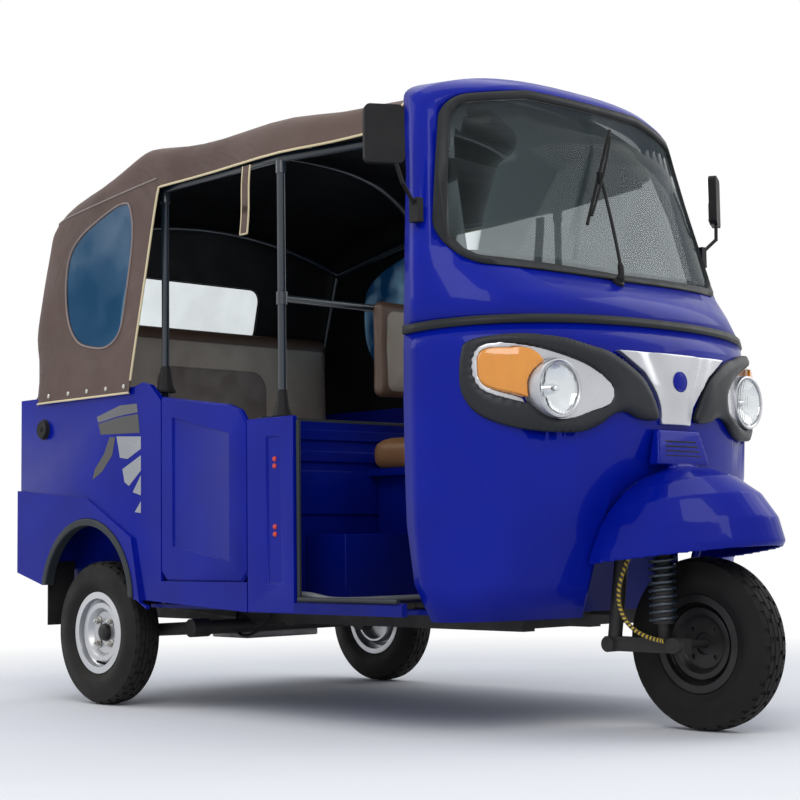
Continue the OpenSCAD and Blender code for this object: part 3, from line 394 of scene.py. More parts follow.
def refine(node, material, bevel=0.002, angle=35, flatten=True, name=None):
    # a CAD node with softened edges and smooth curves
    return addPiece(nodeCopy(node, flatten), name or node + "_finished", material, bodyOfNode[node],
                    (node,), angle, bevel, outward=False)


def ring(bm, centre, along, radius, sides, across=None):
    turn = along.to_track_quat("Z", "Y").to_matrix().to_4x4()
    if across is not None:
        z = along.normalized()
        x = (across - z * across.dot(z)).normalized()
        turn = Matrix((x, z.cross(x), z)).transposed().to_4x4()
    made = bmesh.ops.create_circle(bm, radius=radius, segments=sides, matrix=Matrix.Translation(centre) @ turn)
    verts = set(made["verts"])
    return [e for v in verts for e in v.link_edges if e.other_vert(v) in verts]


def sweep(bm, path, radius, sides=12, closed=False):
    # round bar along a path; radius is a number or one number for each point
    count = len(path)
    radii = radius if isinstance(radius, (list, tuple)) else [radius] * count
    heading = [(path[(i + 1) % count] - path[i - 1]) if closed else (path[min(i + 1, count - 1)] - path[max(i - 1, 0)])
               for i in range(count)]
    side = heading[0].orthogonal()
    rings = []
    for point, along, r in zip(path, heading, radii):
        along = along.normalized()
        side = (side - along * side.dot(along)).normalized()
        rings.append(list(set(ring(bm, point, along, r, sides, side))))
    pairs = list(zip(rings, rings[1:])) + ([(rings[-1], rings[0])] if closed else [])
    for a, b in pairs:
        bmesh.ops.bridge_loops(bm, edges=a + b)
    if not closed:
        for end in (rings[0], rings[-1]):
            bmesh.ops.contextual_create(bm, geom=end)
    return bm


def curvePath(points, steps=8):
    # smooth run through a few points
    out = []
    for i in range(len(points) - 1):
        a, b, c, d = (points[max(i - 1, 0)], points[i], points[i + 1], points[min(i + 2, len(points) - 1)])
        for k in range(steps):
            t = k / steps
            out.append(0.5 * ((2 * b) + (c - a) * t + (2 * a - 5 * b + 4 * c - d) * t * t + (3 * b - a - 3 * c + d) * t ** 3))
    return out + [points[-1]]


def slab(bm, low, high, bevel=0.0, segments=2):
    low, high = Vector(low), Vector(high)
    place = Matrix.Translation((low + high) / 2) @ Matrix.Diagonal((*(high - low), 1))
    verts = bmesh.ops.create_cube(bm, size=1, matrix=place)["verts"]
    if bevel:
        edges = list({e for v in verts for e in v.link_edges})
        bmesh.ops.bevel(bm, geom=edges, offset=bevel, segments=segments, affect="EDGES", profile=0.5, material=-1)
    return bm


def plate(bm, outline, depth, bevel=0.0):
    # flat plate from its corner points, pushed through by depth
    face = bm.faces.new([bm.verts.new(p) for p in outline])
    moved = bmesh.ops.extrude_face_region(bm, geom=[face])["geom"]
    verts = [g for g in moved if isinstance(g, bmesh.types.BMVert)]
    bmesh.ops.translate(bm, verts=verts, vec=depth)
    if bevel:
        edges = list({e for v in verts for e in v.link_edges})
        bmesh.ops.bevel(bm, geom=edges, offset=bevel, segments=2, affect="EDGES", profile=0.5, material=-1)
    return bm


def turned(bm, profile, centre, axis, steps=48):
    # profile: distance along the axis, radius
    axis = axis.normalized()
    side = axis.orthogonal().normalized()
    verts = [bm.verts.new(centre + axis * a + side * max(r, 0)) for a, r in profile]
    edges = [bm.edges.new(pair) for pair in zip(verts, verts[1:])]
    bmesh.ops.spin(bm, geom=verts + edges, cent=centre, axis=axis, angle=2 * math.pi, steps=steps, use_merge=True)
    bmesh.ops.remove_doubles(bm, verts=bm.verts, dist=1e-6)
    return bm


def roundedOutline(x0, x1, z0, z1, r, steps=6):
    corners = ((x1 - r, z1 - r, 0), (x0 + r, z1 - r, 90), (x0 + r, z0 + r, 180), (x1 - r, z0 + r, 270))
    return [(x + r * math.cos(math.radians(a + 90 * k / steps)), z + r * math.sin(math.radians(a + 90 * k / steps)))
            for x, z, a in corners for k in range(steps + 1)]


def mirrored(bm):
    # adds the other side's copy across the middle plane
    extra = bmesh.ops.duplicate(bm, geom=bm.verts[:] + bm.edges[:] + bm.faces[:])["geom"]
    verts = [g for g in extra if isinstance(g, bmesh.types.BMVert)]
    bmesh.ops.scale(bm, vec=(-1, 1, 1), verts=verts)
    bmesh.ops.reverse_faces(bm, faces=[g for g in extra if isinstance(g, bmesh.types.BMFace)])
    return bm


def screwAt(bm, place, out, radius=0.006, height=0.003):
    turned(bm, [(0, 0), (0, radius), (height * 0.6, radius * 0.95), (height, radius * 0.6), (height, 0)], place, out, 16)


def cutterFrom(bm, name):
    bmesh.ops.recalc_face_normals(bm, faces=bm.faces)
    mesh = bpy.data.meshes.new(name)
    bm.to_mesh(mesh)
    bm.free()
    return bpy.data.objects.new(name, mesh)


def cutBy(piece, cutter, kind="DIFFERENCE"):
    hole = piece.modifiers.new(cutter.name, "BOOLEAN")
    hole.operation = kind
    hole.solver = "EXACT"
    hole.object = cutter


def applied(piece):
    # the mesh with its modifiers made real
    graph = bpy.context.evaluated_depsgraph_get()
    done = bpy.data.meshes.new_from_object(piece.evaluated_get(graph))
    piece.modifiers.clear()
    piece.data = done


def settled(piece, material, node, replaces=True):
    # material, shading and body of a finished object
    piece.data.materials.clear()
    for one in material if isinstance(material, (list, tuple)) else [material]:
        piece.data.materials.append(one)
    smoothShade(piece.data, 60)
    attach(piece, bodyOfNode[node])
    if replaces:
        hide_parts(node)
    print(piece.name, "has", len(piece.data.polygons), "faces")
    return piece


def meshPiece(bm, name):
    mesh = bpy.data.meshes.new(name)
    bm.to_mesh(mesh)
    bm.free()
    piece = bpy.data.objects.new(name, mesh)
    scene.collection.objects.link(piece)
    return piece


def melted(piece, voxel, rounds):
    # one even skin with rounded edges
    skin = piece.modifiers.new("skin", "REMESH")
    skin.mode = "VOXEL"
    skin.voxel_size = voxel
    ease = piece.modifiers.new("ease", "SMOOTH")
    ease.factor = 0.5
    ease.iterations = rounds
    applied(piece)


def moulded(node, name, material, voxel=0.004, rounds=6):
    piece = meshPiece(nodeCopy(node, False), name)
    melted(piece, voxel, rounds)
    return settled(piece, material, node)


def closedCurve(points, steps=6):
    # smooth closed run through its corner points
    out, count = [], len(points)
    for i in range(count):
        p, q, r, s = (Vector(points[(i + k) % count]) for k in (-1, 0, 1, 2))
        for k in range(steps):
            t = k / steps
            out.append(0.5 * ((2 * q) + (r - p) * t + (2 * p - 5 * q + 4 * r - s) * t * t + (3 * q - p - 3 * r + s) * t ** 3))
    return out


# ---- cords

brakeHose = {"path": [(-0.150, 0.150, 0.512), (-0.168, 0.160, 0.470), (-0.180, 0.172, 0.415), (-0.176, 0.176, 0.362),
                      (-0.168, 0.158, 0.315), (-0.162, 0.120, 0.284), (-0.160, 0.070, 0.268), (-0.160, 0.030, 0.262)],
             "radius": 0.0065, "turns": 26}
underCable = {"path": [(-0.330, 1.560, 0.345), (-0.350, 1.575, 0.300), (-0.368, 1.610, 0.262), (-0.376, 1.660, 0.240),
                       (-0.372, 1.712, 0.242), (-0.350, 1.756, 0.268), (-0.330, 1.780, 0.305), (-0.322, 1.790, 0.340)],
              "radius": 0.0050, "turns": 0}


def hoseMaterial():
    # black hose with a yellow spiral wound round it
    material, tree, shader = startMaterial("hoseSpiral")
    uv = tree.nodes.new("ShaderNodeUVMap")
    uv.uv_map = "along"
    parts = tree.nodes.new("ShaderNodeSeparateXYZ")
    tree.links.new(uv.outputs[0], parts.inputs[0])
    wound = math2(tree, "FRACT", math2(tree, "ADD", math2(tree, "MULTIPLY", parts.outputs["Y"], brakeHose["turns"]), parts.outputs["X"]))
    stripe = math2(tree, "LESS_THAN", wound, 0.48)
    tree.links.new(blendColour(tree, stripe, (0.020, 0.020, 0.021), (0.52, 0.36, 0.03)), shader.inputs["Base Color"])
    tree.links.new(spread(tree, cloud(tree, 60), 0.42, 0.55), shader.inputs["Roughness"])
    bump(tree, shader, stripe, 0.4, 0.0008)
    return material


def makeCord(name, setup, material, body):
    path = curvePath([at(*p) for p in setup["path"]], 5)
    bm = sweep(bmesh.new(), path, setup["radius"], 14)
    layer = bm.loops.layers.uv.new("along")
    total = len(path) - 1
    for face in bm.faces:
        for loop in face.loops:
            near = min(range(len(path)), key=lambda i: (path[i] - loop.vert.co).length)
            out = loop.vert.co - path[near]
            loop[layer].uv = (math.atan2(out.x, out.y) / (2 * math.pi) + 0.5, near / total)
    piece = addPiece(bm, name, material, body, angle=60)
    real = sum((b - a).length for a, b in zip(path, path[1:]))
    print(name, "measures", round(real, 3), "m")
    return piece


makeCord("brake_hose", brakeHose, hoseMaterial(), "steering")
makeCord("engine_cable", underCable, softBlack, "body")
print("cords made")


# ---- wheels

tyreSetup = {"width": 0.118, "radius": 0.250, "seat": 0.1273, "bead": 0.0417, "steps": 120, "groove": 0.006}


def makeTyre(node, centre, body):
    s = tyreSetup
    half, r, seat, bead = s["width"] / 2, s["radius"], s["seat"], s["bead"]
    tall = r - seat
    flank = [(seat, -bead), (seat + 0.010, -bead - 0.0005), (seat + 0.016, -bead - 0.001), (seat + 0.020, -bead - 0.006),
             (seat + 0.026, -bead - 0.007), (seat + 0.30 * tall, -half + 0.003), (seat + 0.42 * tall, -half),
             (seat + 0.56 * tall, -half + 0.001), (seat + 0.68 * tall, -half + 0.005), (r - 0.020, -half + 0.009),
             (r - 0.013, -half + 0.011), (r - 0.007, -half + 0.018), (r - 0.004, -half + 0.023)]
    tread = []
    for low, high in ((-0.034, -0.019), (-0.015, -0.002), (0.002, 0.015), (0.019, 0.034)):
        crown = [r - 0.10 * x * x / 0.034 for x in (low, high)]
        tread += [(crown[0] - s["groove"], low - 0.0012), (crown[0], low), (crown[1], high), (crown[1] - s["groove"], high + 0.0012)]
    profile = flank + tread + [(a, -x) for a, x in reversed(flank)]
    bm = turned(bmesh.new(), [(x, a) for a, x in profile], centre, Vector((1, 0, 0)), s["steps"])
    bmesh.ops.recalc_face_normals(bm, faces=bm.faces)
    # shoulder lugs and cross cuts in the ribs
    sunk, raised = [], []
    for face in bm.faces:
        c = face.calc_center_median() - centre
        away = math.hypot(c.y, c.z)
        step = int((math.atan2(c.z, c.y) + math.pi) / (2 * math.pi) * s["steps"])
        if away > r - 0.016 and 0.036 < abs(c.x) < 0.054:
            (sunk if step % 4 == 0 else raised).append(face)
        elif away > r - 0.005 and 0.018 < abs(c.x) < 0.035 and step % 4 == 2:
            sunk.append(face)
        elif away > r - 0.005 and abs(c.x) < 0.016 and step % 6 == (1 if c.x > 0 else 4):
            sunk.append(face)
    grown = bmesh.ops.extrude_face_region(bm, geom=sunk)["geom"]
    for v in [g for g in grown if isinstance(g, bmesh.types.BMVert)]:
        out = Vector((0, v.co.y - centre.y, v.co.z - centre.z)).normalized()
        v.co -= out * 0.0045
    bmesh.ops.delete(bm, geom=[f for f in sunk if f.is_valid], context="FACES_ONLY")
    return addPiece(bm, node + "_treaded", tyreRubber, body, (node,), angle=28, outward=True)


rimSetup = {"pitch": 0.055, "nut": 0.0105, "tall": 0.012}


def makeRim(node, centre, body, outward, finishOf):
    refine(node, finishOf, bevel=0.0012, angle=32, flatten=False)
    s = rimSetup
    x = Vector((outward, 0, 0))
    bm = bmesh.new()
    face = centre + x * 0.014
    for k in range(4):
        a = math.radians(45 + 90 * k)
        spot = face + Vector((0, math.cos(a), math.sin(a))) * s["pitch"]
        turned(bm, [(0, 0), (0, 0.0155), (0.0025, 0.0155), (0.0030, 0.012), (0.0030, 0)], spot, x, 20)
        nut = bmesh.ops.create_cone(bm, cap_ends=True, segments=6, radius1=s["nut"], radius2=s["nut"], depth=s["tall"],
                                    matrix=Matrix.Translation(spot + x * 0.009) @ x.to_track_quat("Z", "Y").to_matrix().to_4x4())
        bmesh.ops.bevel(bm, geom=list({e for v in nut["verts"] for e in v.link_edges}), offset=0.0012, segments=2,
                        affect="EDGES", profile=0.5, material=-1)
        turned(bm, [(0.012, 0.0), (0.012, 0.0055), (0.021, 0.0055), (0.0225, 0.004), (0.0225, 0)], spot, x, 16)
    addPiece(bm, node + "_nuts", zincSteel if finishOf is wheelSilver else wheelBlack, body, angle=30)
    bm = turned(bmesh.new(), [(-0.010, 0), (-0.010, 0.031), (0.004, 0.030), (0.012, 0.027), (0.017, 0.020), (0.019, 0.008), (0.0195, 0)],
                face, x, 40)
    addPiece(bm, node + "_cap", wheelBlack, body, angle=30)
    spot = centre + Vector((x.x * 0.026, 0.0, -0.106))
    stem = [spot + x * d + Vector((0, 0, 0.30 * d)) for d in (-0.01, 0.0, 0.012, 0.022)]
    bm = sweep(bmesh.new(), stem, [0.0058, 0.0052, 0.0042, 0.0042], 12)
    addPiece(bm, node + "_valve", softBlack, body, angle=30)


leftAxle = Vector((-rearAxle.x, rearAxle.y, rearAxle.z))
for node, centre, body in (("front_tyre", frontAxle, "front_wheel"), ("rear_tyre_right", rearAxle, "rear_wheel_right"),
                           ("rear_tyre_left", leftAxle, "rear_wheel_left")):
    makeTyre(node, centre, body)
makeRim("front_rim", frontAxle, "front_wheel", 1, wheelBlack)
makeRim("rear_rim_right", rearAxle, "rear_wheel_right", -1, wheelSilver)
makeRim("rear_rim_left", leftAxle, "rear_wheel_left", 1, wheelSilver)
print("wheels made")


# ---- steering, fork and spring

def makeSteering():
    refine("steering_column", tubeBlack, 0.002)
    refine("front_fork", chassisBlack, 0.002)
    refine("front_shock", chassisBlack, 0.001, flatten=False)
    coil = {"x": -0.120, "y": 0.060, "low": 0.312, "high": 0.520, "radius": 0.036, "wire": 0.0056, "turns": 10}
    path = [at(coil["x"] + coil["radius"] * math.cos(2 * math.pi * t / 14), coil["y"] + coil["radius"] * math.sin(2 * math.pi * t / 14),
               coil["low"] + (coil["high"] - coil["low"]) * t / (14 * coil["turns"])) for t in range(14 * coil["turns"] + 1)]
    addPiece(sweep(bmesh.new(), path, coil["wire"], 10), "front_spring", tubeBlack, "steering", angle=60)
    top = steerPivot + steerAxis * 0.990
    bm = bmesh.new()
    for side in (-1, 1):
        a = top + Vector((side * 0.166, 0.020, 0.030))
        b = top + Vector((side * 0.318, 0.074, 0.023))
        steps = 27
        sweep(bm, [a.lerp(b, k / steps) for k in range(steps + 1)], [0.0168 if k % 3 else 0.0188 for k in range(steps)] + [0.021], 20)
    addPiece(bm, "handlebar_grips", softBlack, "steering", angle=40)
    bm = bmesh.new()
    for side in (-1, 1):
        run = [top + Vector((side * d, y, z)) for d, y, z in ((0.150, -0.010, 0.022), (0.185, -0.050, 0.018),
                                                              (0.250, -0.045, 0.010), (0.312, -0.002, 0.006))]
        sweep(bm, curvePath(run, 6), 0.0055, 10)
    addPiece(bm, "brake_levers", brightMetal, "steering", angle=40)
    bm = bmesh.new()
    for side in (-1, 1):
        spot = top + Vector((side * 0.148, 0.016, 0.030))
        slab(bm, spot - Vector((0.024, 0.026, 0.024)), spot + Vector((0.024, 0.026, 0.024)), 0.007, 3)
    addPiece(bm, "switch_pods", charcoal, "steering", angle=35)


makeSteering()
print("steering made")


# ---- body panels

def makeTub():
    for node, width in (("floor_pan", 0.002), ("wheel_housing", 0.002), ("partition", 0.003), ("seat_box", 0.004)):
        refine(node, shadedInnerPaint, width)
    for node in ("pillar_panels", "quarter_panel_right", "quarter_panel_left", "rear_panel", "engine_lid"):
        refine(node, bluePaint, 0.0035)
    refine("side_panel", bluePaint, 0.010)
    refine("windscreen_frame", bluePaint, 0, 50, flatten=False)
    refine("chassis_frame", chassisBlack, 0.003)
    refine("rear_arms", chassisBlack, 0.002)
    refine("passenger_base", shadedInnerPaint, 0.003)
    refine("arch_trims", trimRubber, 0.004)
    refine("belt_bead", gasketRubber, 0, 60, flatten=False)
    refine("windscreen_seal", gasketRubber, 0, 60, flatten=False)
    refine("windscreen_glass", screenGlass, 0, 60, flatten=False)
    refine("dashboard", charcoal, 0.006)


makeTub()
print("tub made")


# ribs, seals and small fittings of the tub
fittings = {"plugSpots": (0.815, 0.793, 0.605, 0.582), "fillerCap": (2.42, 0.979, 0.034), "sideX": 0.720}


def makeSideDetails():
    s = fittings
    out = Vector((-1, 0, 0))
    bm = bmesh.new()
    for z in s["plugSpots"]:
        turned(bm, [(0, 0), (0, 0.0085), (0.003, 0.0080), (0.0055, 0.0055), (0.006, 0)], at(-s["sideX"] + 0.006, 1.094, z), out, 20)
    mirrored(bm)
    addPiece(bm, "pillar_plugs", redPlug, angle=30)
    y, z, r = s["fillerCap"]
    bm = turned(bmesh.new(), [(0, 0), (0, r + 0.004), (0.002, r + 0.004), (0.003, r), (0.012, r - 0.001), (0.015, r - 0.005), (0.0155, 0)],
                at(-s["sideX"], y, z), out, 36)
    turned(bm, [(0.0152, 0), (0.0152, 0.008), (0.0185, 0.007), (0.0185, 0)], at(-s["sideX"], y, z), out, 16)
    addPiece(bm, "filler_cap", softBlack, angle=30)
    bm = bmesh.new()
    for side in (-1, 1):
        sweep(bm, [at(side * 0.706, 0.990, z0) for z0 in (0.37, 0.55, 0.75, 0.93)], 0.007, 10)
    for side in (-1, 1):
        sweep(bm, [at(side * 0.712, y, 0.383) for y in (0.545, 0.70, 0.85, 0.985)], 0.008, 10)
    addPiece(bm, "door_edge_seals", trimRubber, angle=60)
    # drain pipe along the floor behind the door opening
    bm = sweep(bmesh.new(), curvePath([at(-0.66, 1.085, 0.395), at(-0.64, 1.02, 0.392), at(-0.60, 0.97, 0.378), at(-0.52, 0.95, 0.374),
                                       at(-0.40, 0.95, 0.374), at(-0.20, 0.95, 0.374)], 6), 0.011, 14)
    addPiece(bm, "floor_pipe", pipeGrey, angle=60)
    # ribbed mat for the driver's feet
    bm = bmesh.new()
    slab(bm, at(-0.60, 0.60, 0.3570), at(0.60, 0.93, 0.3610), 0.0012)
    for k in range(28):
        x = -0.57 + 1.14 * k / 27
        slab(bm, at(x - 0.006, 0.62, 0.3605), at(x + 0.006, 0.91, 0.3640), 0.0012, 1)
    addPiece(bm, "floor_mat", flapRubber, angle=35)
    # beading along the top of the partition and of the left sill
    bm = sweep(bmesh.new(), [at(x, 1.195, 0.9465) for x in (-0.69, -0.35, 0, 0.35, 0.69)], 0.009, 12)
    addPiece(bm, "partition_edging", trimRubber, angle=60)
    bm = slab(bmesh.new(), at(0.705, 1.24, 0.4335), at(0.7185, 1.68, 0.4385), 0.0015)
    slab(bm, at(0.52, 1.24, 0.3575), at(0.690, 1.70, 0.3620), 0.0015)
    for k in range(9):
        slab(bm, at(0.535 + 0.017 * k, 1.25, 0.3615), at(0.543 + 0.017 * k, 1.69, 0.3645), 0.001, 1)
    addPiece(bm, "entry_tread", flapRubber, angle=35)


makeSideDetails()


# printed stripes on the right rear quarter: plain shapes
stripeSetup = {"x": -0.7203, "depth": 0.0004}
stripeShapes = {
    "stripe_light": ((0.26, 0.27, 0.29), [
        [(1.952, 0.930), (1.806, 0.922), (1.806, 0.880), (1.885, 0.849), (1.931, 0.855)],
        [(1.916, 0.815), (1.806, 0.858), (1.806, 0.806), (1.877, 0.756), (1.903, 0.770)],
        [(1.806, 0.790), (1.806, 0.722), (1.854, 0.734)], [(1.806, 0.702), (1.806, 0.662), (1.842, 0.666)]]),
    "stripe_mid": ((0.060, 0.064, 0.075), [
        [(2.074, 1.005), (1.931, 1.036), (1.830, 1.036), (1.824, 1.006), (1.935, 1.000), (2.066, 0.984)]]),
    "stripe_dark": ((0.004, 0.004, 0.005), [
        [(2.064, 0.980), (1.935, 0.996), (1.823, 1.000), (1.812, 0.935), (2.050, 0.941)],
        [(1.994, 0.930), (1.960, 0.928), (1.978, 0.866), (2.041, 0.811), (2.102, 0.784), (2.086, 0.821), (2.029, 0.873)]])}


def makeStripes():
    s = stripeSetup
    for name, (colour, shapes) in stripeShapes.items():
        bm = bmesh.new()
        for outline in shapes:
            plate(bm, [at(s["x"], y, z) for y, z in outline], Vector((-s["depth"], 0, 0)))
        vinyl = finish(name + "_film", (colour, tuple(c * 1.25 for c in colour)), (0.25, 0.35), (500, 0.05, 0.0002),
                       Coat_Weight=0.6, Coat_Roughness=0.1)
        addPiece(bm, name, vinyl, angle=20)


makeStripes()
print("side details made")


# ---- lamps, mask and nose

lampSetup = {"x": 0.450, "z": 0.980, "front": 0.150, "radius": 0.082, "turnOut": 5, "hole": 0.003, "funnel": 0.020}
# outlines on the left-hand half, millimetres across and above the axles
maskShape = {
    "outline": [(652, 835), (640, 866), (597, 880), (530, 886), (430, 878), (345, 858), (278, 842), (205, 806), (154, 770), (112, 712),
                (90, 652), (160, 650), (215, 668), (266, 660), (323, 625), (392, 606), (513, 612), (587, 632), (634, 668), (656, 735)],
    "opening": [(628, 848), (523, 853), (406, 824), (328, 790), (274, 738), (284, 690), (345, 664), (393, 647), (457, 646),
                (518, 684), (628, 730)],
    "indicator": [(622, 838), (570, 845), (523, 842), (490, 808), (500, 765), (508, 704), (560, 714), (620, 738), (632, 790)],
    "nose": [(252, 848), (150, 785), (98, 725), (76, 690), (66, 636)],
    "proud": {"mask": 0.030, "surround": 0.022, "indicator": 0.036, "nose": 0.024}}


def cowlFace():
    # how far back the cowl's face lies at a place across and up, evened out over its facets
    tree = BVHTree.FromBMesh(nodeCopy("front_cowl", False))

    def find(x, z):
        hits = []
        for dx, dz in ((-0.014, 0), (0.014, 0), (0, -0.014), (0, 0.014)):
            place = tree.ray_cast(Vector((x + dx, cadBox[0].y - 1, z + dz)), Vector((0, 1, 0)))[0]
            if place:
                hits.append(place.y)
        return sum(hits) / len(hits) if hits else None
    return find


faceAt = cowlFace()


def overCowl(name, node, material, outlines, holes, proud, voxel, rounds, slope=0.0, shape=None):
    # a flat moulding with rounded edges, bent over the cowl
    flat = bmesh.new()
    for outline in outlines:
        plate(flat, [Vector((x, 0, z)) for x, z in outline], Vector((0, proud, 0)))
    bmesh.ops.recalc_face_normals(flat, faces=flat.faces)
    piece = meshPiece(flat, name)
    for k, hole in enumerate(holes):
        cutBy(piece, cutterFrom(plate(bmesh.new(), [Vector((x, -0.05, z)) for x, z in hole], Vector((0, 0.15, 0))), f"{name}Hole{k}"))
    melted(piece, voxel, rounds)
    border = [Vector((x, 0, z)) for run in (*outlines, *holes) for x, z in run]
    near = kdtree.KDTree(len(border))
    for k, p in enumerate(border):
        near.insert(p, k)
    near.balance()
    for v in piece.data.vertices:
        gap = near.find(Vector((v.co.x, 0, v.co.z)))[2]
        ease = max(0, 1 - gap / 0.030) ** 2
        front = max(0, 1 - v.co.y / proud)
        y = faceAt(v.co.x, v.co.z)
        if y is None:
            continue
        v.co.y += y - proud - 0.0003 + slope * ease * front
        if shape:
            v.co.y += shape(v.co.x, v.co.z) * front
    return settled(piece, material, node)


def bothSides(points):
    return [[(side * x, z) for x, z in points] for side in (-1, 1)]


def lampPlaces():
    s = lampSetup
    turn = math.radians(s["turnOut"])
    return [(at(side * s["x"], s["front"], s["z"]), Vector((side * math.sin(turn), -math.cos(turn), 0))) for side in (-1, 1)]


def makeCowl():
    # the shell with a round hole for each lamp
    r = lampSetup["radius"] + lampSetup["hole"]
    piece = meshPiece(nodeCopy("front_cowl", False), "front_cowl_finished")
    for k, (spot, out) in enumerate(lampPlaces()):
        cutBy(piece, cutterFrom(turned(bmesh.new(), [(-0.055, 0), (-0.055, r), (0.2, r), (0.2, 0)], spot, out, 64), f"lampHole{k}"))
    applied(piece)
    settled(piece, bluePaint, "front_cowl")
    smoothShade(piece.data, 50)


def makeMask():
    s, m = lampSetup, maskShape
    proud = m["proud"]

    def outlineOf(key, smooth=True):
        points = [(x / 1000, z / 1000 + frontAxle.z) for x, z in m[key]]
        return [(p.x, p.y) for p in closedCurve(points)] if smooth else points

    r = s["radius"] + s["hole"]
    ringPoints = [(s["x"] + r * math.cos(2 * math.pi * k / 48), s["z"] + r * math.sin(2 * math.pi * k / 48)) for k in range(48)]
    opening, indicator = outlineOf("opening"), outlineOf("indicator")
    half = outlineOf("nose", False)
    nose = half + [(-x, z) for x, z in reversed(half)]

    def funnel(x, z):
        # sinks towards the lamp
        away = math.hypot(abs(x) - s["x"], z - s["z"]) - r
        return s["funnel"] * max(0, 1 - away / 0.100)

    def crease(x, z):
        # shallow hollows either side of the nose's middle ridge
        return 0.010 * math.exp(-((abs(x) - 0.075 - 0.5 * max(0, z - 1.0)) / 0.035) ** 2)

    overCowl("headlamp_mask_moulded", "headlamp_mask", charcoal, bothSides(outlineOf("outline")), bothSides(opening), proud["mask"],
             0.0045, 9, 0.012)
    overCowl("lamp_surrounds", "headlamps", silverTrim, bothSides(opening), bothSides(indicator) + bothSides(ringPoints),
             proud["surround"], 0.0035, 3, 0.0, funnel)
    overCowl("indicator_lenses", "indicators", orangeLens, bothSides(indicator), bothSides(ringPoints),
             proud["indicator"], 0.0035, 7, 0.006)
    overCowl("nose_panel_moulded", "nose_panel", silverTrim, [nose], [], proud["nose"], 0.0035, 5, 0.0, crease)


def makeLamps():
    s = lampSetup
    r = s["radius"]
    places = lampPlaces()
    bezel, bowl, lens, bulb = (bmesh.new() for _ in range(4))
    for spot, out in places:
        turned(bezel, [(-0.055, r - 0.001), (-0.055, r + 0.003), (0.000, r + 0.003), (0.004, r + 0.001),
                       (0.005, r - 0.003), (0.002, r - 0.007),
                       (-0.004, r - 0.008)], spot, out, 64)
        turned(bowl, [(-0.003, r - 0.004), (-0.011, r - 0.010), (-0.020, r - 0.028), (-0.028, r - 0.048), (-0.034, 0.012), (-0.034, 0)],
               spot, out, 56)
        dome = [(0.001 + 0.012 * (1 - (k / 8) ** 2), (r - 0.007) * k / 8) for k in range(8, -1, -1)]
        turned(lens, [(-0.002, 0), (-0.002, r - 0.0075)] + dome, spot, out, 56)
        turned(bulb, [(-0.034, 0.013), (-0.024, 0.013), (-0.020, 0.010), (-0.012, 0.008), (-0.009, 0.005), (-0.008, 0)], spot, out, 24)
    addPiece(bezel, "lamp_bezels", silverTrim, angle=40)
    addPiece(bowl, "lamp_reflectors", brightMetal, angle=40)
    addPiece(lens, "lamp_lenses", lensGlass, angle=50)
    addPiece(bulb, "lamp_bulbs", brightMetal, angle=40)
    # plain round boss on the nose
    bm = turned(bmesh.new(), [(-0.004, 0), (-0.004, 0.031), (0.003, 0.031), (0.005, 0.028), (0.004, 0.026), (0.006, 0.014), (0.0065, 0)],
                at(0, 0.071, 1.015), Vector((0, -1, 0)), 40)
    addPiece(bm, "nose_boss", bluePaint, angle=30)
    bm = bmesh.new()
    for side in (-1, 1):
        for x, y, z in ((0.585, 0.330, 1.168), (0.300, 0.150, 1.185)):
            screwAt(bm, at(side * x, y - 0.004, z), Vector((side * 0.4, -1, 0)).normalized(), 0.007)
    addPiece(bm, "mask_screws", zincSteel, angle=30)


makeCowl()
makeMask()
makeLamps()


# fender with its slotted vent box and pressed creases
fenderSetup = {"slots": 4, "slotLow": 0.795, "slotPitch": 0.014, "slotHalf": 0.085}


def makeFender():
    s = fenderSetup
    moulded("front_fender", "front_fender_pressed", bluePaint, 0.0045, 3)
    # dark bars fill the vent slots: painted shade inside the openings
    bm = bmesh.new()
    for k in range(s["slots"]):
        z = s["slotLow"] + s["slotPitch"] * k
        y = 0.062 + 0.018 * (z - 0.768) / 0.104
        half = s["slotHalf"] - 0.004 * k
        slab(bm, at(-half, y - 0.0016, z - 0.0030), at(half, y + 0.006, z + 0.0030), 0.0012, 1)
    addPiece(bm, "vent_slot_shade", softBlack, angle=35)


makeFender()
print("front made")


# ---- wiper and mirrors

wiperSetup = {"seat": (-55, 254, 1077), "lean": (0.651, -0.759), "low": (-106, 326, 1262), "high": (78, 382, 1592)}


def makeWiper():
    s = wiperSetup
    seat, low, high = (mm(*s[k]) for k in ("seat", "low", "high"))
    out = Vector((0, -s["lean"][0], -s["lean"][1]))
    bm = turned(bmesh.new(), [(0, 0), (0, 0.020), (0.008, 0.019), (0.012, 0.013), (0.024, 0.012), (0.028, 0.009), (0.028, 0)],
                seat, out, 28)
    root = seat + out * 0.022
    hold = low.lerp(high, 0.48) + Vector((0, -0.012, 0))
    arm = curvePath([root, root.lerp(hold, 0.14) + Vector((0, -0.006, 0)), root.lerp(hold, 0.55) + Vector((0, -0.006, 0)), hold], 8)
    sweep(bm, arm, [0.0095] * 8 + [0.0052] * (len(arm) - 8), 12)
    addPiece(bm, "wiper_arm", softBlack, replaces=("wiper",), angle=40)
    bm = sweep(bmesh.new(), [low.lerp(high, k / 12) for k in range(13)], 0.0052, 8)
    sweep(bm, [(low.lerp(high, k / 12) + Vector((0, -0.008 - 0.010 * math.sin(math.pi * k / 12), 0))) for k in range(1, 12)], 0.0042, 8)
    slab(bm, hold - Vector((0.009, 0.004, 0.020)), hold + Vector((0.009, 0.012, 0.020)), 0.003)
    addPiece(bm, "wiper_blade", softBlack, angle=40)


makeWiper()

mirrorSetup = {"across": 785, "along": 503, "low": 1386, "high": 1554, "half": 57, "turn": 30, "back": 0.013, "round": 20}


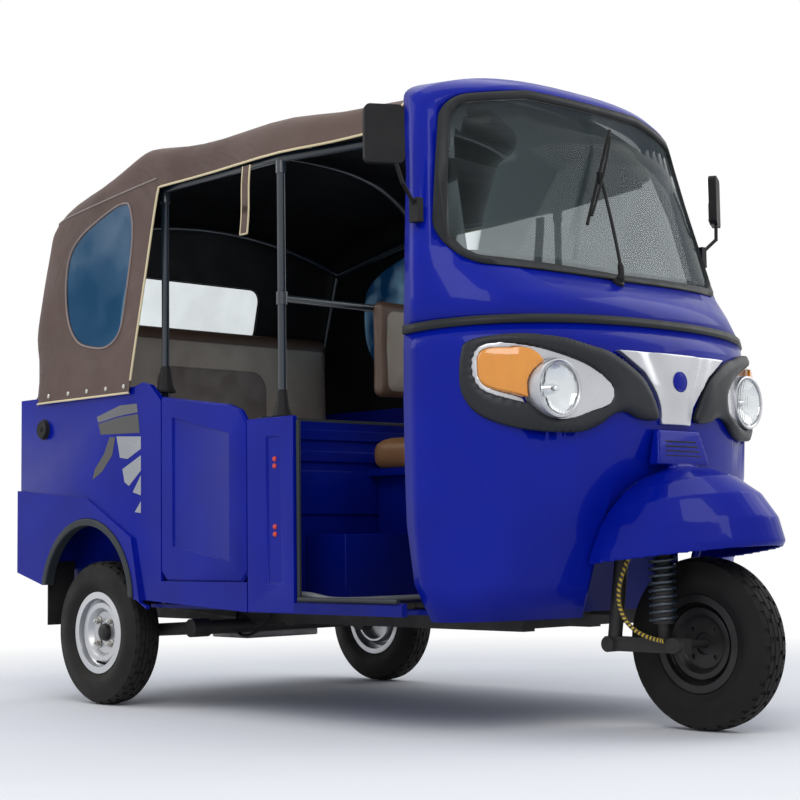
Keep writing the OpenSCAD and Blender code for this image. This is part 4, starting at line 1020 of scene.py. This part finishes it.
def makeMirrors():
    s = mirrorSetup
    refine("mirrors", softBlack, 0.004)
    shell, glass = bmesh.new(), bmesh.new()
    middle = mm(s["across"], s["along"], 0)
    turn = Matrix.Rotation(math.radians(s["turn"]), 3, "Z")

    def face(inset, depth):
        outline = roundedOutline(-s["half"] + inset, s["half"] - inset, s["low"] + inset, s["high"] - inset, s["round"] - inset)
        return [middle + turn @ Vector((x / 1000, depth, z / 1000)) for x, z in outline]

    plate(shell, face(0, s["back"] + 0.001), turn @ Vector((0, -0.010, 0)), 0.003)
    plate(glass, face(8, s["back"] + 0.0045), turn @ Vector((0, -0.0015, 0)))
    addPiece(mirrored(shell), "mirror_rims", softBlack, angle=35)
    addPiece(mirrored(glass), "mirror_glasses", brightMetal, angle=35)


makeMirrors()
print("wiper and mirrors made")


# ---- rear lamps, plate, flaps and underside

def makeRear():
    refine("mud_flaps", flapRubber, 0.002)
    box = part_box("tail_lamps")
    half, low, high, y0, y1 = box[1].x, box[0].z, box[1].z, box[0].y, box[1].y
    inner = half - 0.100
    base, red, amber, clear = (bmesh.new() for _ in range(4))
    slab(base, (inner, y0, low), (half, y0 + 0.010, high), 0.003)
    step = (high - low - 0.012) / 3
    for bm, k in ((red, 0), (clear, 1), (amber, 2)):
        slab(bm, (inner + 0.005, y0 + 0.006, low + 0.006 + step * k + 0.0006),
             (half - 0.005, y1, low + 0.006 + step * (k + 1) - 0.0006), 0.007, 3)
    addPiece(mirrored(base), "tail_lamp_bases", softBlack, replaces=("tail_lamps",), angle=35)
    addPiece(mirrored(red), "tail_lenses_red", redLens, angle=35)
    addPiece(mirrored(amber), "tail_lenses_orange", orangeLens, angle=35)
    addPiece(mirrored(clear), "tail_lenses_clear", lensGlass, angle=35)
    rear = at(0, 2.580, 0).y
    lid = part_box("engine_lid")
    bm = slab(bmesh.new(), (-0.170, rear + 0.001, lid[0].z + 0.012), (0.170, rear + 0.0035, lid[0].z + 0.118), 0.001)
    addPiece(bm, "number_plate", plateWhite, "engine_lid", angle=35)
    bm = bmesh.new()
    for x in (-0.1, 0.1):
        screwAt(bm, Vector((x, rear + 0.0035, lid[0].z + 0.065)), Vector((0, 1, 0)), 0.008, 0.004)
    slab(bm, (-0.045, rear + 0.001, lid[0].z + 0.128), (0.045, rear + 0.012, lid[0].z + 0.140), 0.003)
    addPiece(bm, "plate_bolts", zincSteel, "engine_lid", angle=30)
    bm = sweep(bmesh.new(), curvePath([Vector((x, rear + d, lid[1].z - 0.060)) for x, d in
                                       ((-0.055, 0.000), (-0.052, 0.020), (0, 0.022), (0.052, 0.020), (0.055, 0.000))], 6), 0.0055, 12)
    addPiece(bm, "lid_handle", softBlack, "engine_lid", angle=50)


def makeUnderside():
    # engine: ribbed block, fan cowl and silencer in the block's own space
    low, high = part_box("engine")
    bm = slab(bmesh.new(), low + Vector((0.030, 0.020, 0.035)), high - Vector((0.030, 0.020, 0.030)), 0.018, 3)
    for k in range(9):
        y = low.y + 0.022 + k * (high.y - low.y - 0.044) / 8
        slab(bm, (low.x + 0.006, y - 0.0025, low.z + 0.060), (low.x + 0.180, y + 0.0025, high.z - 0.050), 0.0012, 1)
    slab(bm, (low.x + 0.06, low.y, low.z + 0.02), (high.x - 0.06, high.y, low.z + 0.05), 0.006, 2)
    turned(bm, [(0, 0), (0, 0.080), (0.012, 0.086), (0.060, 0.086), (0.070, 0.078), (0.070, 0)],
           Vector((high.x - 0.070, (low.y + high.y) / 2, (low.z + high.z) / 2)), Vector((1, 0, 0)), 40)
    addPiece(bm, "engine_castings", castMetal, replaces=("engine",), angle=35)
    bm = turned(bmesh.new(), [(-0.17, 0), (-0.17, 0.040), (-0.155, 0.055), (0.155, 0.055), (0.17, 0.040), (0.17, 0)],
                Vector((0.05, high.y + 0.110, low.z + 0.090)), Vector((1, 0, 0)), 36)
    sweep(bm, curvePath([Vector((0.02, high.y - 0.05, low.z + 0.11)), Vector((-0.06, high.y + 0.03, low.z + 0.10)),
                         Vector((-0.12, high.y + 0.10, low.z + 0.09))], 6), 0.018, 14)
    sweep(bm, curvePath([Vector((0.20, high.y + 0.110, low.z + 0.090)), Vector((0.27, high.y + 0.13, low.z + 0.080)),
                         Vector((0.29, high.y + 0.20, low.z + 0.070))], 6), 0.015, 14)
    addPiece(bm, "silencer", castMetal, angle=40)
    refine("rear_shocks", chassisBlack, 0.001, flatten=False)
    bm = bmesh.new()
    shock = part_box("rear_shocks")
    x = shock[1].x - 0.024
    y = (shock[0].y + shock[1].y) / 2
    turns, z0, z1 = 5, shock[0].z + 0.012, shock[1].z - 0.03
    path = [Vector((x + 0.029 * math.cos(2 * math.pi * t / 14), y + 0.029 * math.sin(2 * math.pi * t / 14),
                    z0 + (z1 - z0) * t / (14 * turns)))
            for t in range(14 * turns + 1)]
    sweep(bm, path, 0.0050, 8)
    addPiece(mirrored(bm), "rear_springs", tubeBlack, angle=60)


makeRear()
makeUnderside()
print("rear and underside made")


# ---- canopy: one sheet over the bows, sewn at the rear corners

canopySetup = {
    "rows": [(641, 597, 1640, 1733), (881, 658, 1655, 1738), (1120, 698, 1660, 1738), (1706, 714, 1655, 1736),
             (1800, 718, 1684, 1762), (1880, 720, 1650, 1726), (2230, 722, 1560, 1640), (2377, 708, 1470, 1560)],
    "leans": [0, 0, 0, 0, 0, 60, 200, 220], "hemX": 732.3, "hemZ": 825, "top": 1730, "corner": 66,
    "bows": (671, 1120, 1800, 2355), "sag": 0.012, "thick": 0.003, "bowBase": 1562, "bowRise": 165,
    "sideCut": [(1690, 1560), (1712, 1490), (1862, 825)], "hemFront": (641, 1545), "hemFall": 0.026, "fullness": 0.0035}


def hoodRow(row, lean):
    s = canopySetup
    y, wide, low, crown = row
    r = s["corner"]
    half = [(s["hemX"], s["hemZ"]), (s["hemX"] - 1, 990), (s["hemX"] * 0.62 + wide * 0.38, 1150),
            ((s["hemX"] + wide) / 2, (s["hemZ"] + low) / 2 + 130), (wide + 1, low - 110)]
    half += [(wide - r + r * math.cos(a), low - r + r * math.sin(a)) for a in (math.radians(k) for k in (0, 30, 60))]
    for k in range(6):
        x = (wide - r) * (1 - k / 6)
        half.append((x, low + (crown - low) * (1 - (x / (wide - r)) ** 2)))
    points = [(-x, z) for x, z in half] + [(0, crown)] + [(x, z) for x, z in reversed(half)]
    return [mm(x, y + lean * (s["top"] - z) / (s["top"] - s["hemZ"]), z) for x, z in points]


def chain(bm, points):
    verts = [bm.verts.new(p) for p in points]
    return [bm.edges.new(pair) for pair in zip(verts, verts[1:])]


windowSetup = {
    "side": [(1872, 1466), (1856, 1364), (1892, 1173), (1925, 1050), (2000, 1003), (2100, 1008), (2190, 1040), (2246, 1120),
             (2262, 1240), (2240, 1345), (2170, 1405), (2060, 1448), (1960, 1478), (1905, 1484)],
    "rear": (-330, 330, 1130, 1340, 50), "rearFrom": 2300}


def sideWindowOutline():
    return [(p.x, p.y) for p in closedCurve(windowSetup["side"])]


def makeCanopy():
    s = canopySetup
    bm = bmesh.new()
    rows = [chain(bm, hoodRow(row, lean)) for row, lean in zip(s["rows"], s["leans"])]
    for a, b in zip(rows, rows[1:]):
        bmesh.ops.bridge_loops(bm, edges=a + b)
    # the rear curtain closes the last row, side to side
    last = rows[-1]
    middle = len(last) // 2
    bmesh.ops.bridge_loops(bm, edges=last[:middle - 1] + last[middle + 1:])
    mid = [v for e in last[middle - 1:middle + 1] for v in e.verts]
    bmesh.ops.contextual_create(bm, geom=list({v: None for v in mid}))
    flat = [e for e in bm.edges if len(e.link_faces) == 2 and abs(e.verts[0].co.z - e.verts[1].co.z) < 1e-4
            and abs(e.verts[0].co.x + e.verts[1].co.x) < 1e-4 and abs(e.verts[0].co.x) > 0.05]
    bmesh.ops.subdivide_edges(bm, edges=flat, cuts=9, use_grid_fill=True)
    bmesh.ops.recalc_face_normals(bm, faces=bm.faces)
    mesh = bpy.data.meshes.new("hood")
    bm.to_mesh(mesh)
    bm.free()
    hood = bpy.data.objects.new("canopy_cover", mesh)
    scene.collection.objects.link(hood)
    smooth = hood.modifiers.new("smooth", "SUBSURF")
    smooth.levels = smooth.render_levels = 2
    applied(hood)
    bm = bmesh.new()
    bm.from_mesh(hood.data)
    # front opening and the slanted front edge of the side curtains
    everything = lambda: bm.verts[:] + bm.edges[:] + bm.faces[:]
    start = mm(0, *s["hemFront"])
    bmesh.ops.bisect_plane(bm, geom=everything(), plane_co=start, plane_no=Vector((0, s["hemFall"], 1)).normalized(), dist=1e-5)
    cuts = [mm(0, y, z) for y, z in s["sideCut"]]
    for a, b in zip(cuts, cuts[1:]):
        along = b - a
        bmesh.ops.bisect_plane(bm, geom=everything(), plane_co=a, plane_no=Vector((0, along.z, -along.y)).normalized(), dist=1e-5)

    def edgeY(z):
        for a, b in zip(cuts, cuts[1:]):
            if b.z <= z <= a.z:
                return a.y + (b.y - a.y) * (a.z - z) / (a.z - b.z)
        return cuts[0].y if z > cuts[0].z else cuts[-1].y

    doomed = []
    for f in bm.faces:
        c = f.calc_center_median()
        if c.z < start.z - (c.y - start.y) * s["hemFall"] and c.y < edgeY(c.z):
            doomed.append(f)
    bmesh.ops.delete(bm, geom=doomed, context="FACES")
    # slack between the bows, and soft ripples where the cloth hangs
    bows = [mm(0, y, 0).y for y in s["bows"]]
    for v in bm.verts:
        y, z = v.co.y, v.co.z
        gap = next(((a, b) for a, b in zip(bows, bows[1:]) if a <= y <= b), None)
        if gap:
            t = (y - gap[0]) / (gap[1] - gap[0])
            roof = min(1, max(0, (z - 1.74) / 0.10))
            v.co.z -= s["sag"] * roof * math.sin(math.pi * t) ** 2
        hang = min(1, max(0, (1.78 - z) / 0.2)) * min(1, max(0, (z - 1.10) / 0.15))
        wave = noise.noise(Vector((v.co.x * 1.2, y * 5.5 + z * 1.6, z * 1.3)))
        v.co.x -= math.copysign(s["fullness"] * hang * (0.8 + wave), v.co.x) if abs(v.co.x) > 0.5 else 0
    bm.normal_update()
    # hem edges, kept for the piping
    loose = [e for e in bm.edges if e.is_boundary]
    front = [(e.verts[0].co.copy(), e.verts[1].co.copy()) for e in loose if max(e.verts[0].co.z, e.verts[1].co.z) > 1.09
             and min(e.verts[0].co.y, e.verts[1].co.y) < mm(0, 1900, 0).y or max(e.verts[0].co.z, e.verts[1].co.z) < 1.09]
    area = sum(f.calc_area() for f in bm.faces)
    bm.to_mesh(hood.data)
    bm.free()
    wall = hood.modifiers.new("cloth", "SOLIDIFY")
    wall.thickness = s["thick"]
    wall.offset = -1
    wall.use_even_offset = True
    applied(hood)
    # the clear sheets are the cloth's own surface inside the window outlines
    w = windowSetup
    both = plate(bmesh.new(), [mm(-900, y, z) for y, z in sideWindowOutline()], Vector((1.8, 0, 0)))
    plate(both, [mm(x, w["rearFrom"], z) for x, z in roundedOutline(*w["rear"])], Vector((0, 0.4, 0)))
    opening = cutterFrom(both, "windowOpenings")
    sheets = bpy.data.objects.new("canopy_window_sheets", hood.data.copy())
    scene.collection.objects.link(sheets)
    for piece, kind in ((sheets, "INTERSECT"), (hood, "DIFFERENCE")):
        cutBy(piece, opening, kind)
        applied(piece)
    settled(sheets, (clearVinyl, sideVinyl), "canopy_windows")
    for face in sheets.data.polygons:
        face.material_index = 1 if abs(face.center.x) > 0.5 else 0
    hood.data.materials.clear()
    hood.data.materials.append(cloth)
    hood.data.materials.append(softBlack)
    centre = Vector((0, mm(0, 1500, 0).y, 1.3))
    for face in hood.data.polygons:
        inward = (face.center - centre).dot(face.normal) < 0
        face.material_index = 1 if inward else 0
    smoothShade(hood.data, 45)
    hood.name = "canopy_cover"
    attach(hood, "body")
    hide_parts("canopy")
    print("canopy area", round(area, 3), "faces", len(hood.data.polygons))
    return hood, front


hood, hemEdges = makeCanopy()


def joinChains(edges):
    # orders loose edges into runs of points
    key = lambda p: (round(p.x, 4), round(p.y, 4), round(p.z, 4))
    links, places = {}, {}
    for a, b in edges:
        for p, q in ((a, b), (b, a)):
            links.setdefault(key(p), []).append(key(q))
            places[key(p)] = p
    runs, seen = [], set()
    for start in sorted(links, key=lambda k: (len(links[k]), k)):
        if start in seen:
            continue
        run, here = [start], start
        seen.add(start)
        while True:
            step = [n for n in links[here] if n not in seen]
            if not step:
                break
            here = step[0]
            seen.add(here)
            run.append(here)
        if len(run) > 3:
            runs.append([places[k] for k in run])
    return runs


def evenRun(points, step):
    out, left = [points[0]], step
    for a, b in zip(points, points[1:]):
        length = (b - a).length
        while length >= left > 0:
            a = a + (b - a) * (left / length)
            out.append(a)
            length = (b - a).length
            left = step
        left -= length
    if (out[-1] - points[-1]).length > step * 0.4:
        out.append(points[-1])
    return out


def onHood(spot, towards):
    # nearest point of the cover along a direction
    hit, place, normal, _ = hood.ray_cast(spot, towards)
    return (place, normal) if hit else (spot, -towards)


def makeCanopyTrim():
    bm = bmesh.new()
    for run in joinChains(hemEdges):
        sweep(bm, evenRun(run, 0.012), 0.0040, 8)
    addPiece(bm, "canopy_piping", creamPiping, angle=60)
    # welts round the windows, the roof seam and the hem band
    bm = bmesh.new()
    for side in (-1, 1):
        loop = []
        for y, z in sideWindowOutline():
            out = Vector((0, (y - 2060) / 1000, (z - 1240) / 1000)).normalized() * 0.006
            place, normal = onHood(mm(side * 900, y, z) + out, Vector((-side, 0, 0)))
            loop.append(place + normal * 0.0012)
        sweep(bm, loop, 0.0036, 8, closed=True)
        seam = []
        for k in range(60):
            y = 1716 + (2400 - 1716) * k / 59
            place, normal = onHood(mm(side * 900, y, 1548 - (y - 1716) * 0.10), Vector((-side, 0, 0)))
            if abs(place.x) < 0.8:
                seam.append(place + normal * 0.0008)
        sweep(bm, seam, 0.0034, 8)
    loop = []
    for x, z in roundedOutline(-335, 335, 1125, 1345, 55, 8):
        place, normal = onHood(mm(x, 2800, z), Vector((0, -1, 0)))
        loop.append(place + normal * 0.0012)
    sweep(bm, loop, 0.0045, 8, closed=True)
    addPiece(bm, "canopy_welts", seamCloth, angle=60)
    studs = bmesh.new()
    for side in (-1, 1):
        for y in (1890, 2000, 2120, 2240, 2370, 2500):
            place, normal = onHood(mm(side * 900, y, 848), Vector((-side, 0, 0)))
            screwAt(studs, place, normal, 0.0085, 0.0045)
    for x in (-560, -280, 0, 280, 560):
        place, normal = onHood(mm(x, 2800, 848), Vector((0, -1, 0)))
        screwAt(studs, place, normal, 0.0085, 0.0045)
    addPiece(studs, "canopy_studs", zincSteel, angle=30)
    # one cloth tab with light edges hangs from each side of the roof
    tab, edging = bmesh.new(), bmesh.new()
    for side in (-1, 1):
        run = [mm(side * (701 + 2 * math.sin(k * 0.6)), 1245 + 1.5 * k, 1515 - 20 * k) for k in range(12)]
        for near, far in zip(run, run[1:]):
            wide = Vector((0, 0.018, 0))
            corners = [near - wide, near + wide, far + wide, far - wide]
            plate(tab, corners, Vector((0.003, 0, 0)))
        for shift in (-0.018, 0.018):
            sweep(edging, [p + Vector((0.0015, shift, 0)) for p in run], 0.0030, 8)
        sweep(edging, [run[-1] + Vector((0.0015, d, 0)) for d in (-0.018, 0, 0.018)], 0.0030, 8)
    addPiece(tab, "curtain_straps", cloth, angle=50)
    addPiece(edging, "strap_edging", creamPiping, angle=50)


makeCanopyTrim()


def makeRoofFrame():
    # the bows rise at the sides in step with the cover
    s = canopySetup
    bm = nodeCopy("roof_frame")
    base, rise = mm(0, 0, s["bowBase"]).z, s["bowRise"] / 1000
    for v in bm.verts:
        t = (v.co.z - base) / (mm(0, 0, 1706).z - base)
        if t > 0:
            v.co.z = base + rise * (1 - max(0, 1 - t) ** 2.2)
    addPiece(bm, "roof_frame_finished", tubeBlack, replaces=("roof_frame",), bevel=0, outward=False)


makeRoofFrame()
print("canopy made")


# rubber boots at the feet of the posts, and the clamps of the grab rail
def makePostTrim():
    bm = bmesh.new()
    for x in (-0.660, 0.660):
        for y, z in ((1.120, 0.945), (1.746, 1.070)):
            turned(bm, [(0, 0.0135), (0, 0.034), (0.006, 0.035), (0.012, 0.030), (0.040, 0.022), (0.085, 0.0165), (0.090, 0.0135)],
                   at(x, y, z), Vector((0, 0, 1)), 32)
    addPiece(bm, "post_boots", softBlack, angle=40)
    bm = bmesh.new()
    for x in (-0.660, 0.660):
        for y, z in ((1.120, 1.325), (1.120, 1.745), (1.746, 1.745)):
            turned(bm, [(-0.020, 0.0132), (-0.020, 0.0175), (0.020, 0.0175), (0.020, 0.0132)], at(x, y, z), Vector((0, 0, 1)), 28)
    addPiece(bm, "post_clamps", tubeBlack, angle=30)


makePostTrim()


# ---- seats

sewn = {"taupe": ((0.270, 0.225, 0.180), (0.320, 0.270, 0.215)), "brown": ((0.085, 0.046, 0.030), (0.110, 0.062, 0.040)),
        "dark": ((0.075, 0.052, 0.044), (0.095, 0.066, 0.056)), "tan": ((0.200, 0.095, 0.035), (0.250, 0.125, 0.050))}
seatSetup = {
    "driver_cushion": {"swell": 0.012, "shrink": 0.010, "round": 0.030, "pressure": 4.0},
    "driver_backrest": {"swell": 0.010, "shrink": 0.008, "round": 0.026, "pressure": 4.0},
    "passenger_cushion": {"swell": 0.014, "shrink": 0.012, "round": 0.036, "pressure": 4.0},
    "passenger_backrest": {"swell": 0.012, "shrink": 0.012, "round": 0.034, "pressure": 4.0}}


def seatMaterial(node):
    low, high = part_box(node)
    lift = high.z - low.z
    if node == "driver_backrest":
        return seatVinyl("driverBackVinyl", sewn["taupe"], sewn["brown"], sewn["dark"],
                         (low.x + 0.045, high.x - 0.045, low.z + 0.035, high.z - 0.050, 0.030),
                         (low.x + 0.150, high.x - 0.150, low.z - 0.100, high.z - 0.105, 0.050))
    if node == "passenger_backrest":
        return seatVinyl("benchBackVinyl", sewn["taupe"], sewn["brown"], sewn["dark"],
                         (low.x + 0.030, high.x - 0.030, low.z - 0.100, high.z - 0.075, 0.030),
                         (-0.265, 0.265, low.z - 0.100, low.z + lift * 0.74, 0.070))
    if node == "passenger_cushion":
        return seatVinyl("benchVinyl", sewn["taupe"], sewn["brown"], sewn["dark"],
                         (low.x + 0.040, high.x - 0.040, low.z + 0.030, high.z + 0.100, 0.020), None)
    return seatVinyl("driverSeatVinyl", sewn["tan"], sewn["tan"], None,
                     (low.x + 0.050, high.x - 0.050, low.z - 0.1, high.z - 0.030, 0.020), None)


def makeSeat(node):
    s = seatSetup[node]
    low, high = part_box(node)
    bm = bmesh.new()
    bm.from_mesh(nodeObjects[node].data)
    bmesh.ops.remove_doubles(bm, verts=bm.verts, dist=1e-5)
    bmesh.ops.dissolve_limit(bm, angle_limit=math.radians(1), verts=bm.verts, edges=bm.edges)
    middle = (low + high) / 2
    size = high - low
    for v in bm.verts:
        for axis in range(3):
            keep = 1 - 2 * s["shrink"] / size[axis]
            if axis == 2 and node.endswith("cushion"):
                # the base stays on its board
                v.co[axis] = low[axis] + (v.co[axis] - low[axis]) * (1 - s["shrink"] / size[axis])
            else:
                v.co[axis] = middle[axis] + (v.co[axis] - middle[axis]) * keep
    bmesh.ops.bevel(bm, geom=bm.edges[:], offset=s["round"], segments=4, affect="EDGES", profile=0.5, material=-1)
    bmesh.ops.recalc_face_normals(bm, faces=bm.faces)
    mesh = bpy.data.meshes.new(node)
    bm.to_mesh(mesh)
    bm.free()
    piece = bpy.data.objects.new(node + "_padded", mesh)
    scene.collection.objects.link(piece)
    voxel = piece.modifiers.new("voxel", "REMESH")
    voxel.mode = "VOXEL"
    voxel.voxel_size = 0.0085
    voxel.use_smooth_shade = True
    applied(piece)
    rest = [v.co.copy() for v in piece.data.vertices]
    blow = piece.modifiers.new("blow", "CLOTH")
    blow.settings.use_pressure = True
    blow.settings.uniform_pressure_force = s["pressure"]
    blow.settings.effector_weights.gravity = 0
    blow.settings.quality = 4
    blow.collision_settings.use_collision = False
    for frameNumber in range(1, 21):
        scene.frame_set(frameNumber)
    applied(piece)
    scene.frame_set(1)
    for v, was in zip(piece.data.vertices, rest):
        step = v.co - was
        if step.length > s["swell"]:
            step = step.normalized() * s["swell"]
        place = was + step
        place.z = max(place.z, low.z + 0.0005)
        for axis in range(3):
            place[axis] = min(max(place[axis], low[axis] - 0.006), high[axis] + 0.008)
        v.co = place
    ease = piece.modifiers.new("ease", "SMOOTH")
    ease.factor = 0.5
    ease.iterations = 4
    round2 = piece.modifiers.new("fine", "SUBSURF")
    round2.levels = round2.render_levels = 1
    applied(piece)
    piece.data.materials.clear()
    piece.data.materials.append(seatMaterial(node))
    smoothShade(piece.data, 60)
    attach(piece, "body")
    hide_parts(node)
    print(node, "padded,", len(piece.data.polygons), "faces")
    return piece


for seatNode in seatSetup:
    makeSeat(seatNode)
print("seats made")


# ---- instruments

def makeInstruments():
    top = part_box("dashboard")[1].z
    bm = slab(bmesh.new(), at(-0.13, 0.395, top - 0.002), at(0.13, 0.475, top + 0.070), 0.018, 3)
    addPiece(bm, "instrument_pod", charcoal, angle=40)
    bm, face = bmesh.new(), bmesh.new()
    out = Vector((0, 1, 0))
    for x, r in ((-0.055, 0.032), (0.050, 0.026)):
        turned(bm, [(0, r - 0.002), (0, r + 0.003), (0.006, r + 0.002), (0.007, r - 0.002)], at(x, 0.474, top + 0.035), out, 40)
        turned(face, [(0.0005, 0), (0.0005, r - 0.001), (0.0020, r - 0.001), (0.0022, 0)], at(x, 0.474, top + 0.035), out, 40)
    addPiece(bm, "dial_rings", brightMetal, angle=30)
    addPiece(face, "dial_faces", plateWhite, angle=30)


makeInstruments()


# ---- studio

stageSetup = {"clear": 2.2, "far": 4.2, "sky": (0.80, 0.87, 1.0), "skyStrength": 0.62, "seen": 1.0}


def seenRay(tree):
    # 1 for what the camera, metal or glass sees directly
    ray = tree.nodes.new("ShaderNodeLightPath")
    return math2(tree, "MAXIMUM", math2(tree, "MAXIMUM", ray.outputs["Is Camera Ray"], ray.outputs["Is Glossy Ray"]),
                 ray.outputs["Is Transmission Ray"])


def makeStage():
    s = stageSetup
    material, tree, shader = startMaterial("studioFloor")
    grey = blendColour(tree, spread(tree, cloud(tree, 0.8), 0, 1), (0.80, 0.80, 0.80), (0.83, 0.83, 0.83))
    tree.links.new(grey, shader.inputs["Base Color"])
    shader.inputs["Roughness"].default_value = 0.85
    # the floor fades to white away from the vehicle
    reach = tree.nodes.new("ShaderNodeVectorMath")
    reach.operation = "LENGTH"
    tree.links.new(objectSpace(tree), reach.inputs[0])
    fade = spread(tree, reach.outputs["Value"], 0, 1, s["clear"], s["far"])
    glow = tree.nodes.new("ShaderNodeEmission")
    glow.inputs["Strength"].default_value = s["seen"]
    mix = tree.nodes.new("ShaderNodeMixShader")
    tree.links.new(math2(tree, "MULTIPLY", fade, seenRay(tree)), mix.inputs[0])
    tree.links.new(shader.outputs[0], mix.inputs[1])
    tree.links.new(glow.outputs[0], mix.inputs[2])
    tree.links.new(mix.outputs[0], tree.nodes["Material Output"].inputs["Surface"])
    bm = bmesh.new()
    bmesh.ops.create_grid(bm, x_segments=1, y_segments=1, size=14)
    mesh = bpy.data.meshes.new("studioFloor")
    bm.to_mesh(mesh)
    bm.free()
    mesh.materials.append(material)
    floor = bpy.data.objects.new("studio_floor", mesh)
    scene.collection.objects.link(floor)
    world = bpy.data.worlds.new("studioSky")
    scene.world = world
    world.use_nodes = True
    tree = world.node_tree
    sky = tree.nodes["Background"]
    sky.inputs["Color"].default_value = (*s["sky"], 1)
    sky.inputs["Strength"].default_value = s["skyStrength"]
    seen = tree.nodes.new("ShaderNodeBackground")
    seen.inputs["Color"].default_value = (1, 1, 1, 1)
    seen.inputs["Strength"].default_value = s["seen"]
    mix = tree.nodes.new("ShaderNodeMixShader")
    tree.links.new(seenRay(tree), mix.inputs[0])
    tree.links.new(sky.outputs[0], mix.inputs[1])
    tree.links.new(seen.outputs[0], mix.inputs[2])
    tree.links.new(mix.outputs[0], tree.nodes["World Output"].inputs["Surface"])


lampBank = [((-3.4, -3.6, 4.2), 3.4, 120), ((3.6, -2.2, 3.4), 3.0, 50), ((-3.2, 3.4, 3.6), 3.0, 50), ((0.4, 0.6, 5.2), 3.6, 70)]


def makeLights():
    for k, (place, size, power) in enumerate(lampBank):
        data = bpy.data.lights.new(f"softbox{k}", "AREA")
        data.size = size
        data.energy = power
        data.color = (1.0, 0.985, 0.96)
        lamp = bpy.data.objects.new(f"softbox{k}", data)
        lamp.location = place
        lamp.rotation_euler = (Vector((0, 0, 0.8)) - Vector(place)).to_track_quat("-Z", "Y").to_euler()
        scene.collection.objects.link(lamp)


makeStage()
makeLights()
scene.view_settings.view_transform = "Standard"
print("studio made")
